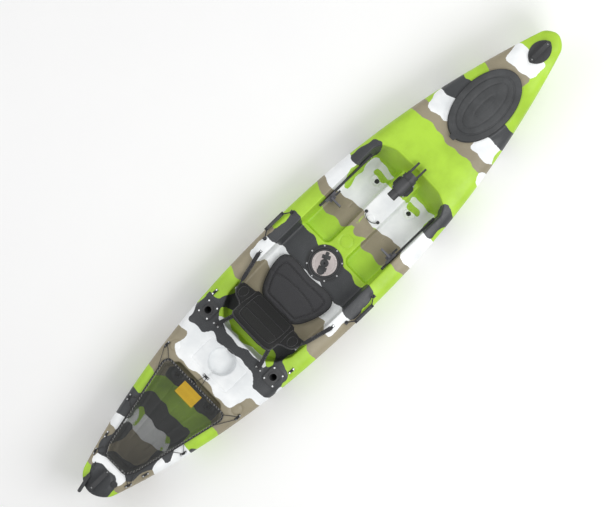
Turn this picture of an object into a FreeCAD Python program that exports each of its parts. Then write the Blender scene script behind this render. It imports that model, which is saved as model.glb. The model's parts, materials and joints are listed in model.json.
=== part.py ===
"""A sit-on-top fishing kayak with its hatches, seat, foot braces, rod holders and deck rigging.

Millimetres. X runs to the bow, Y to port and Z up. The origin is on the flat keel face, amidships.
"""
import FreeCAD, Part
import math
import os
import re

import Sketcher
from FreeCAD import Placement, Rotation, Vector

SIZES = [
    # hull
    ("hull_length", 3830), ("hull_beam", 768), ("hull_wall", 5),
    ("bow_tip", 65), ("stern_tip", 95), ("bow_round", 60), ("stern_round", 80),
    ("seam_mid", 232), ("seam_bow", 330), ("seam_stern", 300),
    ("deck_rise", 66), ("deck_crown", 8), ("foredeck_crown", 22), ("foredeck_at", 1250),
    ("keel_flat", 1000), ("keel_sink", 2), ("keel_rocker", 215),
    # cockpit, leg wells and centre ridge
    ("cockpit_floor", 140), ("cockpit_rear", 672), ("cockpit_front", 786), ("cockpit_half", 284),
    ("well_floor", 95), ("well_rear", 92), ("well_draft", 7), ("ridge_half", 65),
    ("ridge_top", 200), ("ridge_start", 300), ("ridge_flat", 545), ("cockpit_draft", 22),
    # tankwell, round recess and scuppers
    ("tank_floor", 160), ("tank_rear", 1690), ("tank_front", 1000), ("tank_rear_half", 82),
    ("tank_front_half", 238), ("recess_at", 828), ("recess_radius", 88), ("recess_depth", 55),
    ("scupper_radius", 15), ("scupper_boss", 30), ("scupper_front_at", 570),
    ("scupper_rear_at", 1080), ("scupper_half", 135),
    # fittings in general
    ("land_rise", 3), ("fit_gap", 0.5), ("screw_radius", 2.5), ("screw_head", 5), ("screw_bite", 3),
    # bow hatch
    ("hatch_at", 1317), ("hatch_long", 523), ("hatch_wide", 320), ("hatch_border", 42),
    ("rim_height", 12), ("gasket_width", 8), ("gasket_height", 3), ("lid_thick", 10),
    # centre hatch
    ("round_at", 5), ("flange_radius", 112), ("flange_thick", 5), ("collar_radius", 98),
    ("collar_height", 16), ("round_mouth", 80), ("round_lid", 89), ("round_lid_thick", 8),
    ("seal_height", 3), ("round_screws", 8),
    # flush rod tubes
    ("tube_at", 675), ("tube_side", 275), ("tube_bore", 21), ("tube_wall", 3), ("tube_depth", 225),
    ("tube_lean", 20), ("tube_flange_long", 110), ("tube_flange_wide", 95), ("tube_flange_thick", 4),
    # end handles
    ("grip_long", 150), ("grip_wide", 26), ("grip_high", 44), ("grip_gap_high", 30),
    ("grip_foot", 22), ("bow_handle_at", 1765), ("stern_handle_at", 1822),
    ("leaf_long", 172), ("leaf_wide", 120), ("leaf_thick", 4),
    # side handles
    ("side_at", 35), ("side_span", 220), ("side_out", 343), ("side_reach", 32), ("side_grip", 11),
    ("side_grip_long", 120), ("lug_pin", 3), ("lug_height", 12),
    # foot braces
    ("rail_rear", 220), ("rail_front", 655), ("rail_level", 200), ("rail_high", 24), ("rail_thick", 12),
    ("pedal_at", 305), ("slider_long", 80), ("slider_wall", 8), ("pedal_wide", 72), ("pedal_high", 115),
    ("pedal_thick", 12), ("trigger_long", 42),
    # seat
    ("seat_front", 112), ("seat_rear", 385), ("seat_half", 205), ("seat_thick", 45),
    ("back_gap", 17), ("back_lift", 23), ("back_long", 450), ("back_half", 165), ("back_thick", 38),
    ("back_lean", 25), ("back_tail", 15), ("wing_half", 250), ("wing_low", 30), ("wing_high", 250),
    ("wing_thick", 24), ("strap_wide", 25), ("strap_thick", 2),
    # adjustable rod holder
    ("holder_at", 655), ("holder_plate", 120), ("holder_plate_thick", 6), ("post_radius", 32),
    ("post_high", 62), ("spindle_radius", 22), ("pivot_high", 96), ("cheek_thick", 9),
    ("lug_half", 15), ("cradle_high", 62), ("cradle_radius", 38), ("cradle_bore", 24),
    ("collar_long", 48), ("barrel_long", 140), ("prong_long", 75), ("prong_thick", 10),
    ("lock_ring_radius", 45), ("lock_ring_long", 24), ("bolt_radius", 5), ("knob_radius", 20),
    # paddle keeper, mesh and rigging
    ("keeper_at", 400), ("keeper_half", 48), ("keeper_cord", 5), ("mesh_front", 1040),
    ("mesh_thick", 2), ("hem_wide", 12), ("hem_thick", 5), ("mesh_over", 10), ("mesh_clear", 10),
    ("rig_cord", 4), ("eye_long", 44), ("eye_wide", 16), ("eye_radius", 8), ("eye_wire", 2.5),
    # drain, toggle and foam
    ("drain_at", 1780), ("drain_side", 78), ("drain_radius", 20), ("plug_radius", 13),
    ("toggle_radius", 11), ("toggle_long", 104), ("foam_long", 380), ("foam_wide", 90),
]

doc = FreeCAD.newDocument("Kayak")
sheet = doc.addObject("Spreadsheet::Sheet", "Sizes")
for row, (alias, value) in enumerate(SIZES, start=1):
    sheet.set(f"A{row}", alias)
    sheet.set(f"B{row}", str(value))
    sheet.setAlias(f"B{row}", alias)
doc.recompute()

NODES = []


def size(name):
    """A driving size, read from the sheet."""
    return float(sheet.get(name))


def tie(made, **formulas):
    """Binds properties to formulas in the sheet's names; x, y and z are the placement's base."""
    for name, formula in formulas.items():
        path = "Placement.Base." + name if name in "xyz" else name
        made.setExpression(path, re.sub(r"\b([a-z]+(?:_[a-z]+)+)\b", r"Sizes.\1", formula))
    return made


def primitive(kind, name, **formulas):
    return tie(doc.addObject("Part::" + kind, name), **formulas)


def block(name, long, wide, high, x="0", y="0", z="0"):
    """A box centred on x and y that stands on z."""
    return primitive(
        "Box", name, Length=long, Width=wide, Height=high,
        x=f"{x} - ({long}) / 2", y=f"{y} - ({wide}) / 2", z=z)


def rod(name, radius, high, x="0", y="0", z="0", along=None):
    """A cylinder that stands on z, or lies along X or Y from its base point."""
    made = primitive("Cylinder", name, Radius=radius, Height=high, x=x, y=y, z=z)
    turns = {"x": Rotation(Vector(0, 1, 0), 90), "y": Rotation(Vector(1, 0, 0), -90)}
    if along:
        made.Placement = Placement(made.Placement.Base, turns[along])
    return made


def fuse(name, pieces):
    made = doc.addObject("Part::MultiFuse", name)
    made.Shapes = pieces
    return made


def group(name, pieces):
    made = doc.addObject("Part::Compound", name)
    made.Links = pieces
    return made


def cut(name, base, tool):
    made = doc.addObject("Part::Cut", name)
    made.Base = base
    made.Tool = tool
    return made


def node(made, label, place=None):
    """Marks an object as a piece of the kayak."""
    if place is not None:
        made.Placement = place
    made.Label = label
    NODES.append(made)
    return made


def feature(label, shape, place=None):
    """A piece whose shape is worked out by code."""
    made = doc.addObject("Part::Feature", label)
    made.Shape = shape
    return node(made, label, place)


def origin_plane(body, role):
    return next(plane for plane in body.Origin.OriginFeatures if plane.Role == role)


def new_sketch(body, name, role):
    sketch = body.newObject("Sketcher::SketchObject", name)
    sketch.AttachmentSupport = [(origin_plane(body, role), "")]
    sketch.MapMode = "FlatFace"
    return sketch


def draw_rectangle(sketch, wide, high):
    """A rectangle centred on the sketch's origin."""
    corners = [Vector(-10, -5, 0), Vector(10, -5, 0), Vector(10, 5, 0), Vector(-10, 5, 0)]
    for index in range(4):
        sketch.addGeometry(Part.LineSegment(corners[index], corners[(index + 1) % 4]))
    for index in range(4):
        sketch.addConstraint(Sketcher.Constraint("Coincident", index, 2, (index + 1) % 4, 1))
    for index, kind in enumerate(("Horizontal", "Vertical", "Horizontal", "Vertical")):
        sketch.addConstraint(Sketcher.Constraint(kind, index))
    sketch.addConstraint(Sketcher.Constraint("Symmetric", 0, 1, 1, 2, -1, 1))
    for edge, formula in ((0, wide), (1, high)):
        axis = "DistanceX" if edge == 0 else "DistanceY"
        number = sketch.addConstraint(Sketcher.Constraint(axis, edge, 1, edge, 2, 10))
        tie(sketch, **{f"Constraints[{number}]": formula})


def draw_circle(sketch, radius):
    edge = sketch.addGeometry(Part.Circle(Vector(0, 0, 0), Vector(0, 0, 1), 10))
    sketch.addConstraint(Sketcher.Constraint("Coincident", edge, 3, -1, 1))
    number = sketch.addConstraint(Sketcher.Constraint("Radius", edge, 10))
    tie(sketch, **{f"Constraints[{number}]": radius})


def padded(name, role, draw, length, midplane=False, round_edges=None):
    """A PartDesign body: one sketch padded, and its edges rounded if asked."""
    body = doc.addObject("PartDesign::Body", name)
    sketch = new_sketch(body, name + "_sketch", role)
    draw(sketch)
    pad = body.newObject("PartDesign::Pad", name + "_pad")
    pad.Profile = sketch
    pad.Midplane = midplane
    tie(pad, Length=length)
    if round_edges:
        doc.recompute()
        fillet = body.newObject("PartDesign::Fillet", name + "_fillet")
        fillet.Base = (pad, [""])
        fillet.UseAllEdges = True
        tie(fillet, Radius=round_edges)
    return body


# ---------------------------------------------------------------- hull surface

def half_beam(x):
    half = size("hull_length") / 2
    forward = x >= 0
    tip = size("bow_tip" if forward else "stern_tip")
    power = 2.05 if forward else 2.3
    end_round = size("bow_round" if forward else "stern_round")
    beam = tip + (size("hull_beam") / 2 - tip) * (1 - (abs(x) / half) ** power)
    into_end = (abs(x) - (half - end_round)) / end_round
    return beam * math.sqrt(max(0, 1 - into_end ** 2)) if into_end > 0 else beam


def along(x):
    return abs(x) / (size("hull_length") / 2)


def seam_height(x):
    """The level of the widest line, where bottom and deck meet."""
    end = size("seam_bow" if x > 0 else "seam_stern")
    return size("seam_mid") + (end - size("seam_mid")) * along(x) ** 2.2


def keel_height(x):
    past = (abs(x) - size("keel_flat")) / (size("hull_length") / 2 - size("keel_flat"))
    return -size("keel_sink") + (size("keel_rocker") * past ** 5 if past > 0 else 0)


def crown(x):
    return size("deck_crown") + size("foredeck_crown") * math.exp(-((x - size("foredeck_at")) / 500) ** 2)


def bilge(share):
    """How far up from keel to seam the bottom is, at a share of the half beam."""
    past = max(0, (share - 0.3) / 0.7)
    return 1 - math.sqrt(max(0, 1 - past ** 3))


def deck_height(x, y):
    share = min(1, abs(y) / half_beam(x))
    rise = size("deck_rise") - 10 * along(x)
    return seam_height(x) + rise * math.sqrt(max(0, 1 - share ** 8)) + crown(x) * (1 - share ** 2)


def closed(points):
    return Part.makePolygon(points + points[:1])


def half_sections(x):
    """The outer cross-section at x: the bottom from port to starboard, and the deck back again."""
    beam = half_beam(x)
    shares = (1, 0.985, 0.95, 0.88, 0.75, 0.5, 0.25, 0)
    low = [(beam * v, keel_height(x) + (seam_height(x) - keel_height(x)) * bilge(v)) for v in shares]
    high = [(-beam * v, deck_height(x, beam * v)) for v in shares if v != 0.25]
    low += [(-y, z) for y, z in reversed(low[:-1])]
    high += [(-y, z) for y, z in reversed(high[:-1])]
    return low, high


def outer_section(x, deck):
    """One half of the section, closed by a straight line at the seam."""
    return closed([Vector(x, y, z) for y, z in half_sections(x)[1 if deck else 0]])


def inner_section(x, inset):
    """The hollow's cross-section: the outer one moved inwards."""
    low, high = half_sections(x)
    ring = low + high[1:-1]
    moved = []
    for index, (y, z) in enumerate(ring):
        before, after = ring[index - 1], ring[(index + 1) % len(ring)]
        step_y, step_z = after[0] - before[0], after[1] - before[1]
        step = math.hypot(step_y, step_z)
        moved.append(Vector(x, y + step_z / step * inset, z - step_y / step * inset))
    return closed(moved)


def stations(end_inset):
    half = size("hull_length") / 2
    middle = [half * share for share in (-0.81, -0.65, -0.47, -0.235, 0, 0.235, 0.47, 0.65, 0.81)]
    ends = [half - end_inset - step for step in (0, 8, 26, 76, 180)]
    return [-x for x in ends] + middle + list(reversed(ends))


def half_hull(deck):
    return Part.makeLoft([outer_section(x, deck) for x in stations(0.5)], True, True)


def whole_hull():
    """The whole outside, bottom and deck together."""
    sections = []
    for x in stations(0.5):
        low, high = half_sections(x)
        sections.append(closed([Vector(x, y, z) for y, z in low + high[1:-1]]))
    return Part.makeLoft(sections, True, True)


def hull_hollow():
    return Part.makeLoft([inner_section(x, size("hull_wall")) for x in stations(12)], True, True)


# ---------------------------------------------------------------- outlines and frames

def grown(points, grow):
    """A closed counter-clockwise polygon with every side moved out by grow."""
    count = len(points)
    moved = []
    for index in range(count):
        before, here, after = points[index - 1], points[index], points[(index + 1) % count]
        first = (here[0] - before[0], here[1] - before[1])
        second = (after[0] - here[0], after[1] - here[1])
        normals = []
        for side in (first, second):
            length = math.hypot(*side)
            normals.append((side[1] / length, -side[0] / length))
        scale = grow / (1 + normals[0][0] * normals[1][0] + normals[0][1] * normals[1][1])
        moved.append((here[0] + (normals[0][0] + normals[1][0]) * scale,
                      here[1] + (normals[0][1] + normals[1][1]) * scale))
    return moved


def rounded(points, radius, z=0.0):
    """A wire through a polygon's sides, with an arc at each corner."""
    count = len(points)
    corners = [Vector(x, y, z) for x, y in points]
    cuts = []
    for index in range(count):
        here = corners[index]
        back = corners[index - 1] - here
        ahead = corners[(index + 1) % count] - here
        turn = math.pi - back.getAngle(ahead)
        reach = min(radius * math.tan(turn / 2), 0.45 * back.Length, 0.45 * ahead.Length)
        start = here + back.normalize() * reach
        end = here + ahead.normalize() * reach
        inner = here + (back + ahead).normalize() * reach * (1 / math.cos(turn / 2) - 1) / math.tan(turn / 2)
        cuts.append((start, inner, end))
    edges = []
    for index in range(count):
        start, inner, end = cuts[index]
        edges.append(Part.Arc(start, inner, end).toShape())
        edges.append(Part.makeLine(end, cuts[(index + 1) % count][0]))
    return Part.Wire(edges)


def mirrored(half):
    """A whole outline from its port half, given from the stern to the bow."""
    starboard = [(x, -y) for x, y in half]
    return starboard + [(x, y) for x, y in reversed(half)]


def flipped(points):
    return [(x, -y) for x, y in reversed(points)]


def prism(points, radius, low, high):
    wire = rounded(points, radius, low)
    return Part.Face(wire).extrude(Vector(0, 0, high - low))


def tub(floor, top, radius, low, high):
    """A drafted hollow between a floor outline and a top outline."""
    return Part.makeLoft([rounded(floor, radius, low), rounded(top, radius, high)], True, True)


def oval(long, wide, z=0.0):
    """An ellipse with its long way along X."""
    return Part.Wire(Part.Ellipse(Vector(0, 0, z), long / 2, wide / 2).toShape())


def disc(radius, x, y, low, high):
    return Part.makeCylinder(radius, high - low, Vector(x, y, low))


def deck_frame(x, y, lift="land_rise"):
    """A frame on the deck: Z along the deck's normal, X forward, its origin lifted by the land."""
    step = 2.0
    slope_x = (deck_height(x + step, y) - deck_height(x - step, y)) / (2 * step)
    slope_y = (deck_height(x, y + step) - deck_height(x, y - step)) / (2 * step)
    up = Vector(-slope_x, -slope_y, 1).normalize()
    ahead = (Vector(1, 0, 0) - up * up.x).normalize()
    turn = Rotation(ahead, up.cross(ahead), up, "ZXY")
    return Placement(Vector(x, y, deck_height(x, y)) + up * size(lift), turn)


def level_frame(x, y, z, turn=0.0):
    return Placement(Vector(x, y, z), Rotation(Vector(0, 0, 1), turn))


# ---------------------------------------------------------------- where things stand

def hatch_frame():
    half = size("hatch_long") / 2
    at = size("hatch_at")
    fore, aft = deck_height(at + half, 0), deck_height(at - half, 0)
    pitch = math.degrees(math.atan2(fore - aft, 2 * half))
    middle = max(deck_height(at, 0), (fore + aft) / 2)
    return Placement(Vector(at, 0, middle + size("land_rise")), Rotation(Vector(0, 1, 0), -pitch))


def eye_places():
    """Deck padeyes: x, y and how far each is turned."""
    half = [(-1725, 138, 20), (-1365, 228, 12), (-990, 297, 0), (-705, 179, 90),
            (-230, 305, 0), (-575, 322, 0), (-1610, 163, 15)]
    places = [(x, side * y, side * turn) for x, y, turn in half for side in (1, -1)]
    return places + [(-958, 0, 90)]


def eye_frames():
    frames = []
    for x, y, turn in eye_places():
        frame = deck_frame(x, y)
        frames.append(frame.multiply(level_frame(0, 0, 0, turn)))
    return frames


def side_frames():
    """Each side handle's hinge line: X along the boat, Y outwards, Z up."""
    frames = []
    for side in (1, -1):
        base = deck_frame(-size("side_at"), side * size("side_out"))
        frames.append((side, base))
    return frames


def tube_frames():
    """Each flush rod tube's flange frame on the deck, and the frame of its bore, which leans aft."""
    frames = []
    for side in (1, -1):
        flange = deck_frame(-size("tube_at"), side * size("tube_side"))
        bore = Placement(flange.Base, Rotation(Vector(0, 1, 0), -size("tube_lean")))
        frames.append((side, flange, bore))
    return frames


def handle_frames():
    return [deck_frame(size("bow_handle_at"), 0), deck_frame(-size("stern_handle_at"), 0)]


def holder_level():
    return size("ridge_top")


def mesh_level(x):
    """The underside of the tankwell cover, a plane just above the well's rim."""
    rear, front = -size("tank_rear"), -size("tank_front") - 90
    rear_level = deck_height(rear, size("tank_rear_half"))
    front_level = deck_height(front, size("tank_front_half") + size("mesh_over"))
    share = (x - rear) / (front - rear)
    return rear_level + (front_level - rear_level) * share + size("mesh_clear")


def tank_outline():
    rear, front = size("tank_rear"), size("tank_front")
    return mirrored([(-rear, size("tank_rear_half")), (-rear + 60, size("tank_rear_half") + 32),
                     (-front - 85, size("tank_front_half")), (-front, 180)])


def cockpit_outline(inset):
    half = size("cockpit_half") - inset
    rear, front = size("cockpit_rear"), size("cockpit_front")
    return mirrored([(-rear + 1.4 * inset, 150 - inset / 2), (-rear + 72 + inset, 228 - inset),
                     (-rear + 152 + inset, 268 - inset), (-rear + 380, half),
                     (front - 95 - inset, half), (front - 45 - inset, half - 30),
                     (front - 2.6 * inset, 150 - inset)])


def well_outline():
    """The port leg well's mouth in the cockpit floor, a little inside the cockpit's walls."""
    rear, inner = size("well_rear"), size("ridge_half") + 2
    outer = size("cockpit_half") - size("cockpit_draft") - 3
    toe = size("cockpit_front") - 2.6 * size("cockpit_draft") - 5
    return [(rear, inner), (toe - 70, inner), (toe, inner + 45), (toe, outer - 70),
            (toe - 70, outer), (rear, outer)]


def wall_side(z):
    """Half the distance between the cockpit's side walls at a level."""
    share = (z - size("cockpit_floor")) / (cockpit_mouth() - size("cockpit_floor"))
    return size("cockpit_half") - size("cockpit_draft") + size("cockpit_draft") * share


def cockpit_mouth():
    """A level above the whole deck edge round the cockpit."""
    return size("seam_mid") + size("deck_rise") + 45


# ---------------------------------------------------------------- shell

def ridge(shrink):
    """The centre ridge between the leg wells, with its sloped top and flat land."""
    half = size("ridge_half") - shrink
    base = size("cockpit_floor") - 60
    front = size("cockpit_front") + 40
    outline = [(size("ridge_start"), base), (front, base), (front, size("ridge_top") - shrink),
               (size("ridge_flat"), size("ridge_top") - shrink),
               (size("ridge_start"), size("cockpit_floor") - shrink)]
    wire = Part.makePolygon([Vector(x, -half, z) for x, z in outline + outline[:1]])
    return Part.Face(wire).extrude(Vector(0, 2 * half, 0))


def scuppers():
    places = []
    for x, floor in ((size("scupper_front_at"), size("well_floor")),
                     (-size("scupper_rear_at"), size("tank_floor"))):
        places += [(x, side * size("scupper_half"), floor) for side in (1, -1)]
    return places


def deck_lands():
    """Flat moulded seats under the fittings, from inside the wall up to the land."""
    deep = size("hull_wall") + 1 + size("land_rise")
    lands = []

    def add(frame, solid):
        solid.Placement = frame.multiply(Placement(Vector(0, 0, -deep), Rotation()))
        lands.append(solid)

    for frame in eye_frames():
        add(frame, Part.makeBox(size("eye_long") + 4, size("eye_wide") + 4, deep,
                                Vector(-size("eye_long") / 2 - 2, -size("eye_wide") / 2 - 2, 0)))
    for side, frame in side_frames():
        for end in (1, -1):
            add(frame, disc(14, end * size("side_span") / 2, 0, 0, deep))
    for side, flange, bore in tube_frames():
        add(flange, prism(grown(flange_outline(), 4), 24, 0, deep))
    for frame in handle_frames():
        add(frame, Part.Face(leaf(4)).extrude(Vector(0, 0, deep)))
    add(deck_frame(-size("drain_at"), -size("drain_side")), disc(size("drain_radius") + 3, 0, 0, 0, deep))
    return lands


def leaf(grow):
    """A leaf-shaped outline: two arcs that meet at the tips."""
    long = size("leaf_long") / 2 + grow
    wide = size("leaf_wide") / 2 + grow
    tips = Vector(-long, 0, 0), Vector(long, 0, 0)
    return Part.Wire([Part.Arc(tips[0], Vector(0, -wide, 0), tips[1]).toShape(),
                      Part.Arc(tips[1], Vector(0, wide, 0), tips[0]).toShape()])


def flange_outline():
    long, wide = size("tube_flange_long") / 2, size("tube_flange_wide") / 2
    return [(-long, -wide), (long, -wide), (long, wide), (-long, wide)]


def hatch_land():
    """A level ring of plastic under the bow hatch rim."""
    deep = 30
    long, wide = size("hatch_long") + 12, size("hatch_wide") + 12
    ring = Part.Face(oval(long, wide)).extrude(Vector(0, 0, deep))
    ring.Placement = hatch_frame().multiply(Placement(Vector(0, 0, -deep), Rotation()))
    return ring


def hatch_mouth(low, high):
    border = 2 * size("hatch_border")
    hole = Part.Face(oval(size("hatch_long") - border, size("hatch_wide") - border, low))
    hole = hole.extrude(Vector(0, 0, high - low))
    hole.Placement = hatch_frame()
    return hole


def tubs(grow):
    """The cockpit, its two leg wells and the tankwell, as hollows grown out and down."""
    draft = size("cockpit_draft")
    mouth = cockpit_mouth()
    made = [tub(grown(cockpit_outline(draft), grow), grown(cockpit_outline(0), grow), 50 + grow,
                size("cockpit_floor") - grow, mouth)]
    for turn in (list, flipped):
        outline = turn(well_outline())
        made.append(tub(grown(outline, grow - size("well_draft")), grown(outline, grow), 40 + grow,
                        size("well_floor") - grow, size("cockpit_floor") + 12))
    made.append(tub(grown(tank_outline(), grow - 18), grown(tank_outline(), grow), 42 + grow,
                    size("tank_floor") - grow, size("seam_stern") + size("deck_rise") + 60))
    return made


# Where the shell's two skins are cut into lengths along the boat.
BOTTOM_LENGTHS = (-1500, -1013, -500, 57, 637, 1100, 1500)
DECK_LENGTHS = (-1723, -1353, -1130, -480, -187, 150, 500, 803, 1000, 1603)
CRUMB = 500             # mm3: smaller solids are left by a cut
LOOSE_LIMIT = 5000      # mm3 of crumbs in all, before a skin counts as broken up
REACH = 2500            # beyond the hull at either end
BESIDE = 500            # beyond the hull on either side
BELOW, ABOVE = -200, 800
SEAT_GAP = 6            # around the round hatch's collar
DRAIN_GAP = 4
TUBE_HOLE = 34
TUBE_HOLE_LOW, TUBE_HOLE_HIGH = 180, 340


def shell():
    """The bottom and the deck of the one moulded shell."""
    wall = size("hull_wall")
    floor = size("cockpit_floor")
    keel = slab(BELOW, 0)
    hollow = hull_hollow().cut(slab(BELOW, wall))
    drains = [disc(size("scupper_radius"), x, y, -20, floor_z + 20) for x, y, floor_z in scuppers()]
    pillars = [disc(size("scupper_boss"), x, y, wall, floor_z - 1).common(hollow)
               for x, y, floor_z in scuppers()]
    bottom = half_hull(False).cut([hollow, keel] + drains)

    recess_floor = deck_height(-size("recess_at"), 0) - size("recess_depth")
    recess = disc(size("recess_radius"), -size("recess_at"), 0, recess_floor, ABOVE)
    recess_skin = disc(size("recess_radius") + wall, -size("recess_at"), 0, recess_floor - wall, ABOVE)
    grown_tubs = tubs(wall)
    skins = grown_tubs[0].multiFuse(grown_tubs[1:] + [recess_skin]).common(whole_hull())
    deck = half_hull(True).cut(hollow)
    deck = deck.multiFuse([skins, hatch_land()] + pillars + deck_lands())

    mouths = tubs(0)
    cockpit = mouths[0].multiFuse(mouths[1:3]).cut(ridge(0))
    round_hole = disc(size("round_mouth") + SEAT_GAP, size("round_at"), 0, floor - 20, floor + 5)
    tube_holes = [disc(TUBE_HOLE, -size("tube_at") + 4, side * size("tube_side"),
                       TUBE_HOLE_LOW, TUBE_HOLE_HIGH) for side in (1, -1)]
    drain_hole = Part.makeCylinder(size("plug_radius") + DRAIN_GAP, 60, Vector(0, 0, -40))
    drain_hole.Placement = deck_frame(-size("drain_at"), -size("drain_side"))
    deck = deck.cut(cockpit)
    deck = deck.cut([mouths[3], recess, hatch_mouth(-60, 20), round_hole, drain_hole, ridge(wall)]
                    + tube_holes + drains)
    return (lengths(largest(bottom), BOTTOM_LENGTHS, True),
            lengths(largest(deck), DECK_LENGTHS, False))


def slab(low, high):
    """Everything under the hull between two levels."""
    return Part.makeBox(2 * REACH, 2 * BESIDE, high - low, Vector(-REACH, -BESIDE, low))


def lengths(skin, ends, halves):
    """The same skin in lengths that meet face to face, so that simple collision shapes fit each."""
    sides = [(-BESIDE, 0), (0, BESIDE)] if halves else [(-BESIDE, BESIDE)]
    pieces = []
    for start, end in zip((-REACH,) + ends, ends + (REACH,)):
        for right, left in sides:
            corner = Vector(start, right, BELOW)
            piece = skin.common(Part.makeBox(end - start, left - right, ABOVE - BELOW, corner))
            pieces += [solid for solid in piece.Solids if solid.Volume > CRUMB]
    return Part.makeCompound(pieces)


def largest(shape):
    """The shape's one big solid; anything else would be a crumb left by a cut."""
    solids = sorted(shape.Solids, key=lambda solid: solid.Volume)
    crumbs = sum(solid.Volume for solid in solids[:-1])
    if crumbs > LOOSE_LIMIT:
        raise ValueError(f"a skin fell apart: {crumbs} mm3 is loose")
    return solids[-1]


def foam_blocks():
    """Two foam pillars between the hull's bottom and the cockpit floor."""
    high = "cockpit_floor - 2 * hull_wall - 2 * fit_gap"
    low = "hull_wall + fit_gap"
    pieces = [block(f"foam_{name}", "foam_long", "foam_wide", high, "-300", y, low)
              for name, y in (("left", "100"), ("right", "-100"))]
    node(group("foam_blocks", pieces), "foam_blocks")


# ---------------------------------------------------------------- fasteners

def screw(name, place, under):
    """A pan-head screw whose head sits on z = under above the place and bites into the plastic."""
    head = rod(name + "_head", "screw_head", "screw_radius", z=under)
    shank = rod(name + "_shank", "screw_radius", f"{under} + screw_bite", z="-screw_bite")
    made = fuse(name, [shank, head])
    made.Placement = place
    return made


def screws(label, places, under):
    made = [screw(f"{label}_{index}", place, under) for index, place in enumerate(places, start=1)]
    return node(group(label, made), label)


def holed(shape, places, radius):
    """A shape with a clearance hole at each place."""
    holes = [Part.makeCylinder(radius, 60, Vector(x, y, -30)) for x, y in places]
    return shape.cut(holes)


def screw_clearance():
    return size("screw_radius") + size("fit_gap") / 2


# ---------------------------------------------------------------- hatches

def oval_plate(border, low, high):
    """A plate as wide as the bow hatch less a border all round."""
    face = Part.Face(oval(size("hatch_long") - 2 * border, size("hatch_wide") - 2 * border, low))
    return face.extrude(Vector(0, 0, high - low))


def oval_ring(border, inner_border, low, high):
    return oval_plate(border, low, high).cut(oval_plate(inner_border, low, high))


def bow_hatch():
    border, rim = size("hatch_border"), size("rim_height")
    gap = size("fit_gap")
    gasket = size("gasket_height")
    frame = hatch_frame()
    rim_shape = oval_ring(0, border, 0, rim / 2)
    rim_shape = rim_shape.fuse(oval_ring(border / 2 + 8, border, 0, rim))
    feature("bow_hatch_rim", rim_shape, frame)
    seal = oval_ring(border - size("gasket_width"), border, rim, rim + gasket)
    feature("bow_hatch_gasket", seal, frame)
    skirt = oval_ring(4, border / 2 + 8 - 4 * gap, rim / 2 + gap, rim + gasket + gap)
    under = rim + gasket + gap
    top = oval_plate(4, under, under + size("lid_thick"))
    raised = oval_plate(border, under + 1, under + size("lid_thick") + 7)
    tab = Part.makeBox(26, 50, 8, Vector(-size("hatch_long") / 2 - 12, -25, rim + gasket + 1))
    feature("bow_hatch_lid", top.multiFuse([skirt, raised, tab]), frame)


def centre_hatch():
    floor, at = size("cockpit_floor"), size("round_at")
    flange, collar, mouth = size("flange_radius"), size("collar_radius"), size("round_mouth")
    thick, high = size("flange_thick"), size("collar_height")
    gap, seal_high = size("fit_gap"), size("seal_height")
    frame = level_frame(at, 0, floor)
    bore = size("round_lid") + 2 * gap
    ring = disc(flange, 0, 0, 0, thick).fuse(disc(collar, 0, 0, 0, high))
    ring = ring.fuse(disc(mouth + 5, 0, 0, -14, thick))
    ring = ring.cut([disc(mouth, 0, 0, -20, high + 1), disc(bore, 0, 0, thick, high + 1)])
    circle = (flange + collar) / 2
    count = int(size("round_screws"))
    places = [(circle * math.cos(2 * math.pi * i / count), circle * math.sin(2 * math.pi * i / count))
              for i in range(count)]
    feature("centre_hatch_ring", holed(ring, places, screw_clearance()), frame)
    screws("centre_hatch_screws", [level_frame(at + x, y, floor) for x, y in places], "flange_thick")
    node(ring_body("centre_hatch_seal", "round_lid - fit_gap", "round_mouth + fit_gap", "seal_height"),
         "centre_hatch_seal", level_frame(at, 0, floor + thick))
    lid = disc(size("round_lid"), 0, 0, 0, size("round_lid_thick"))
    bar = Part.makeBox(2 * size("round_lid") - 30, 16, 8, Vector(-size("round_lid") + 15, -8, 0))
    recesses = [disc(26, x, y, 3, 20) for x, y in ((0, 45), (0, -45))]
    bar.translate(Vector(0, 0, size("round_lid_thick") - 1))
    lid = lid.cut(recesses).fuse(bar)
    feature("centre_hatch_lid", lid, level_frame(at, 0, floor + thick + seal_high + gap))


def ring_body(name, outer, inner, high):
    def draw(sketch):
        draw_circle(sketch, outer)
        draw_circle(sketch, inner)
    return padded(name, "XY_Plane", draw, high)


# ---------------------------------------------------------------- rod tubes and handles

def rod_tubes():
    bore, wall, deep = size("tube_bore"), size("tube_wall"), size("tube_depth")
    thick = size("tube_flange_thick")
    corners = [(x, y) for x in (-1, 1) for y in (-1, 1)]
    spots = [(x * (size("tube_flange_long") / 2 - 13), y * (size("tube_flange_wide") / 2 - 13))
             for x, y in corners]
    places = []
    for side, flange, line in tube_frames():
        tube = disc(bore + wall, 0, 0, -deep - wall, 30)
        well = disc(bore, 0, 0, -deep, 60)
        plate = prism(flange_outline(), 20, 0, thick).fuse(disc(bore + 10, 0, 0, 0, thick + 4))
        above = Part.makeBox(200, 200, 60, Vector(-100, -100, thick + 4))
        for solid, frame in ((tube, line), (well, line), (plate, flange), (above, flange)):
            solid.Placement = frame
        shape = plate.fuse(tube).cut([well, above])
        holes = [Part.makeCylinder(screw_clearance(), 60, Vector(x, y, -30)) for x, y in spots]
        for hole in holes:
            hole.Placement = flange
        feature("rod_tube_left" if side > 0 else "rod_tube_right", shape.cut(holes))
        places += [flange.multiply(level_frame(x, y, 0)) for x, y in spots]
    screws("rod_tube_screws", places, "tube_flange_thick")


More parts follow.
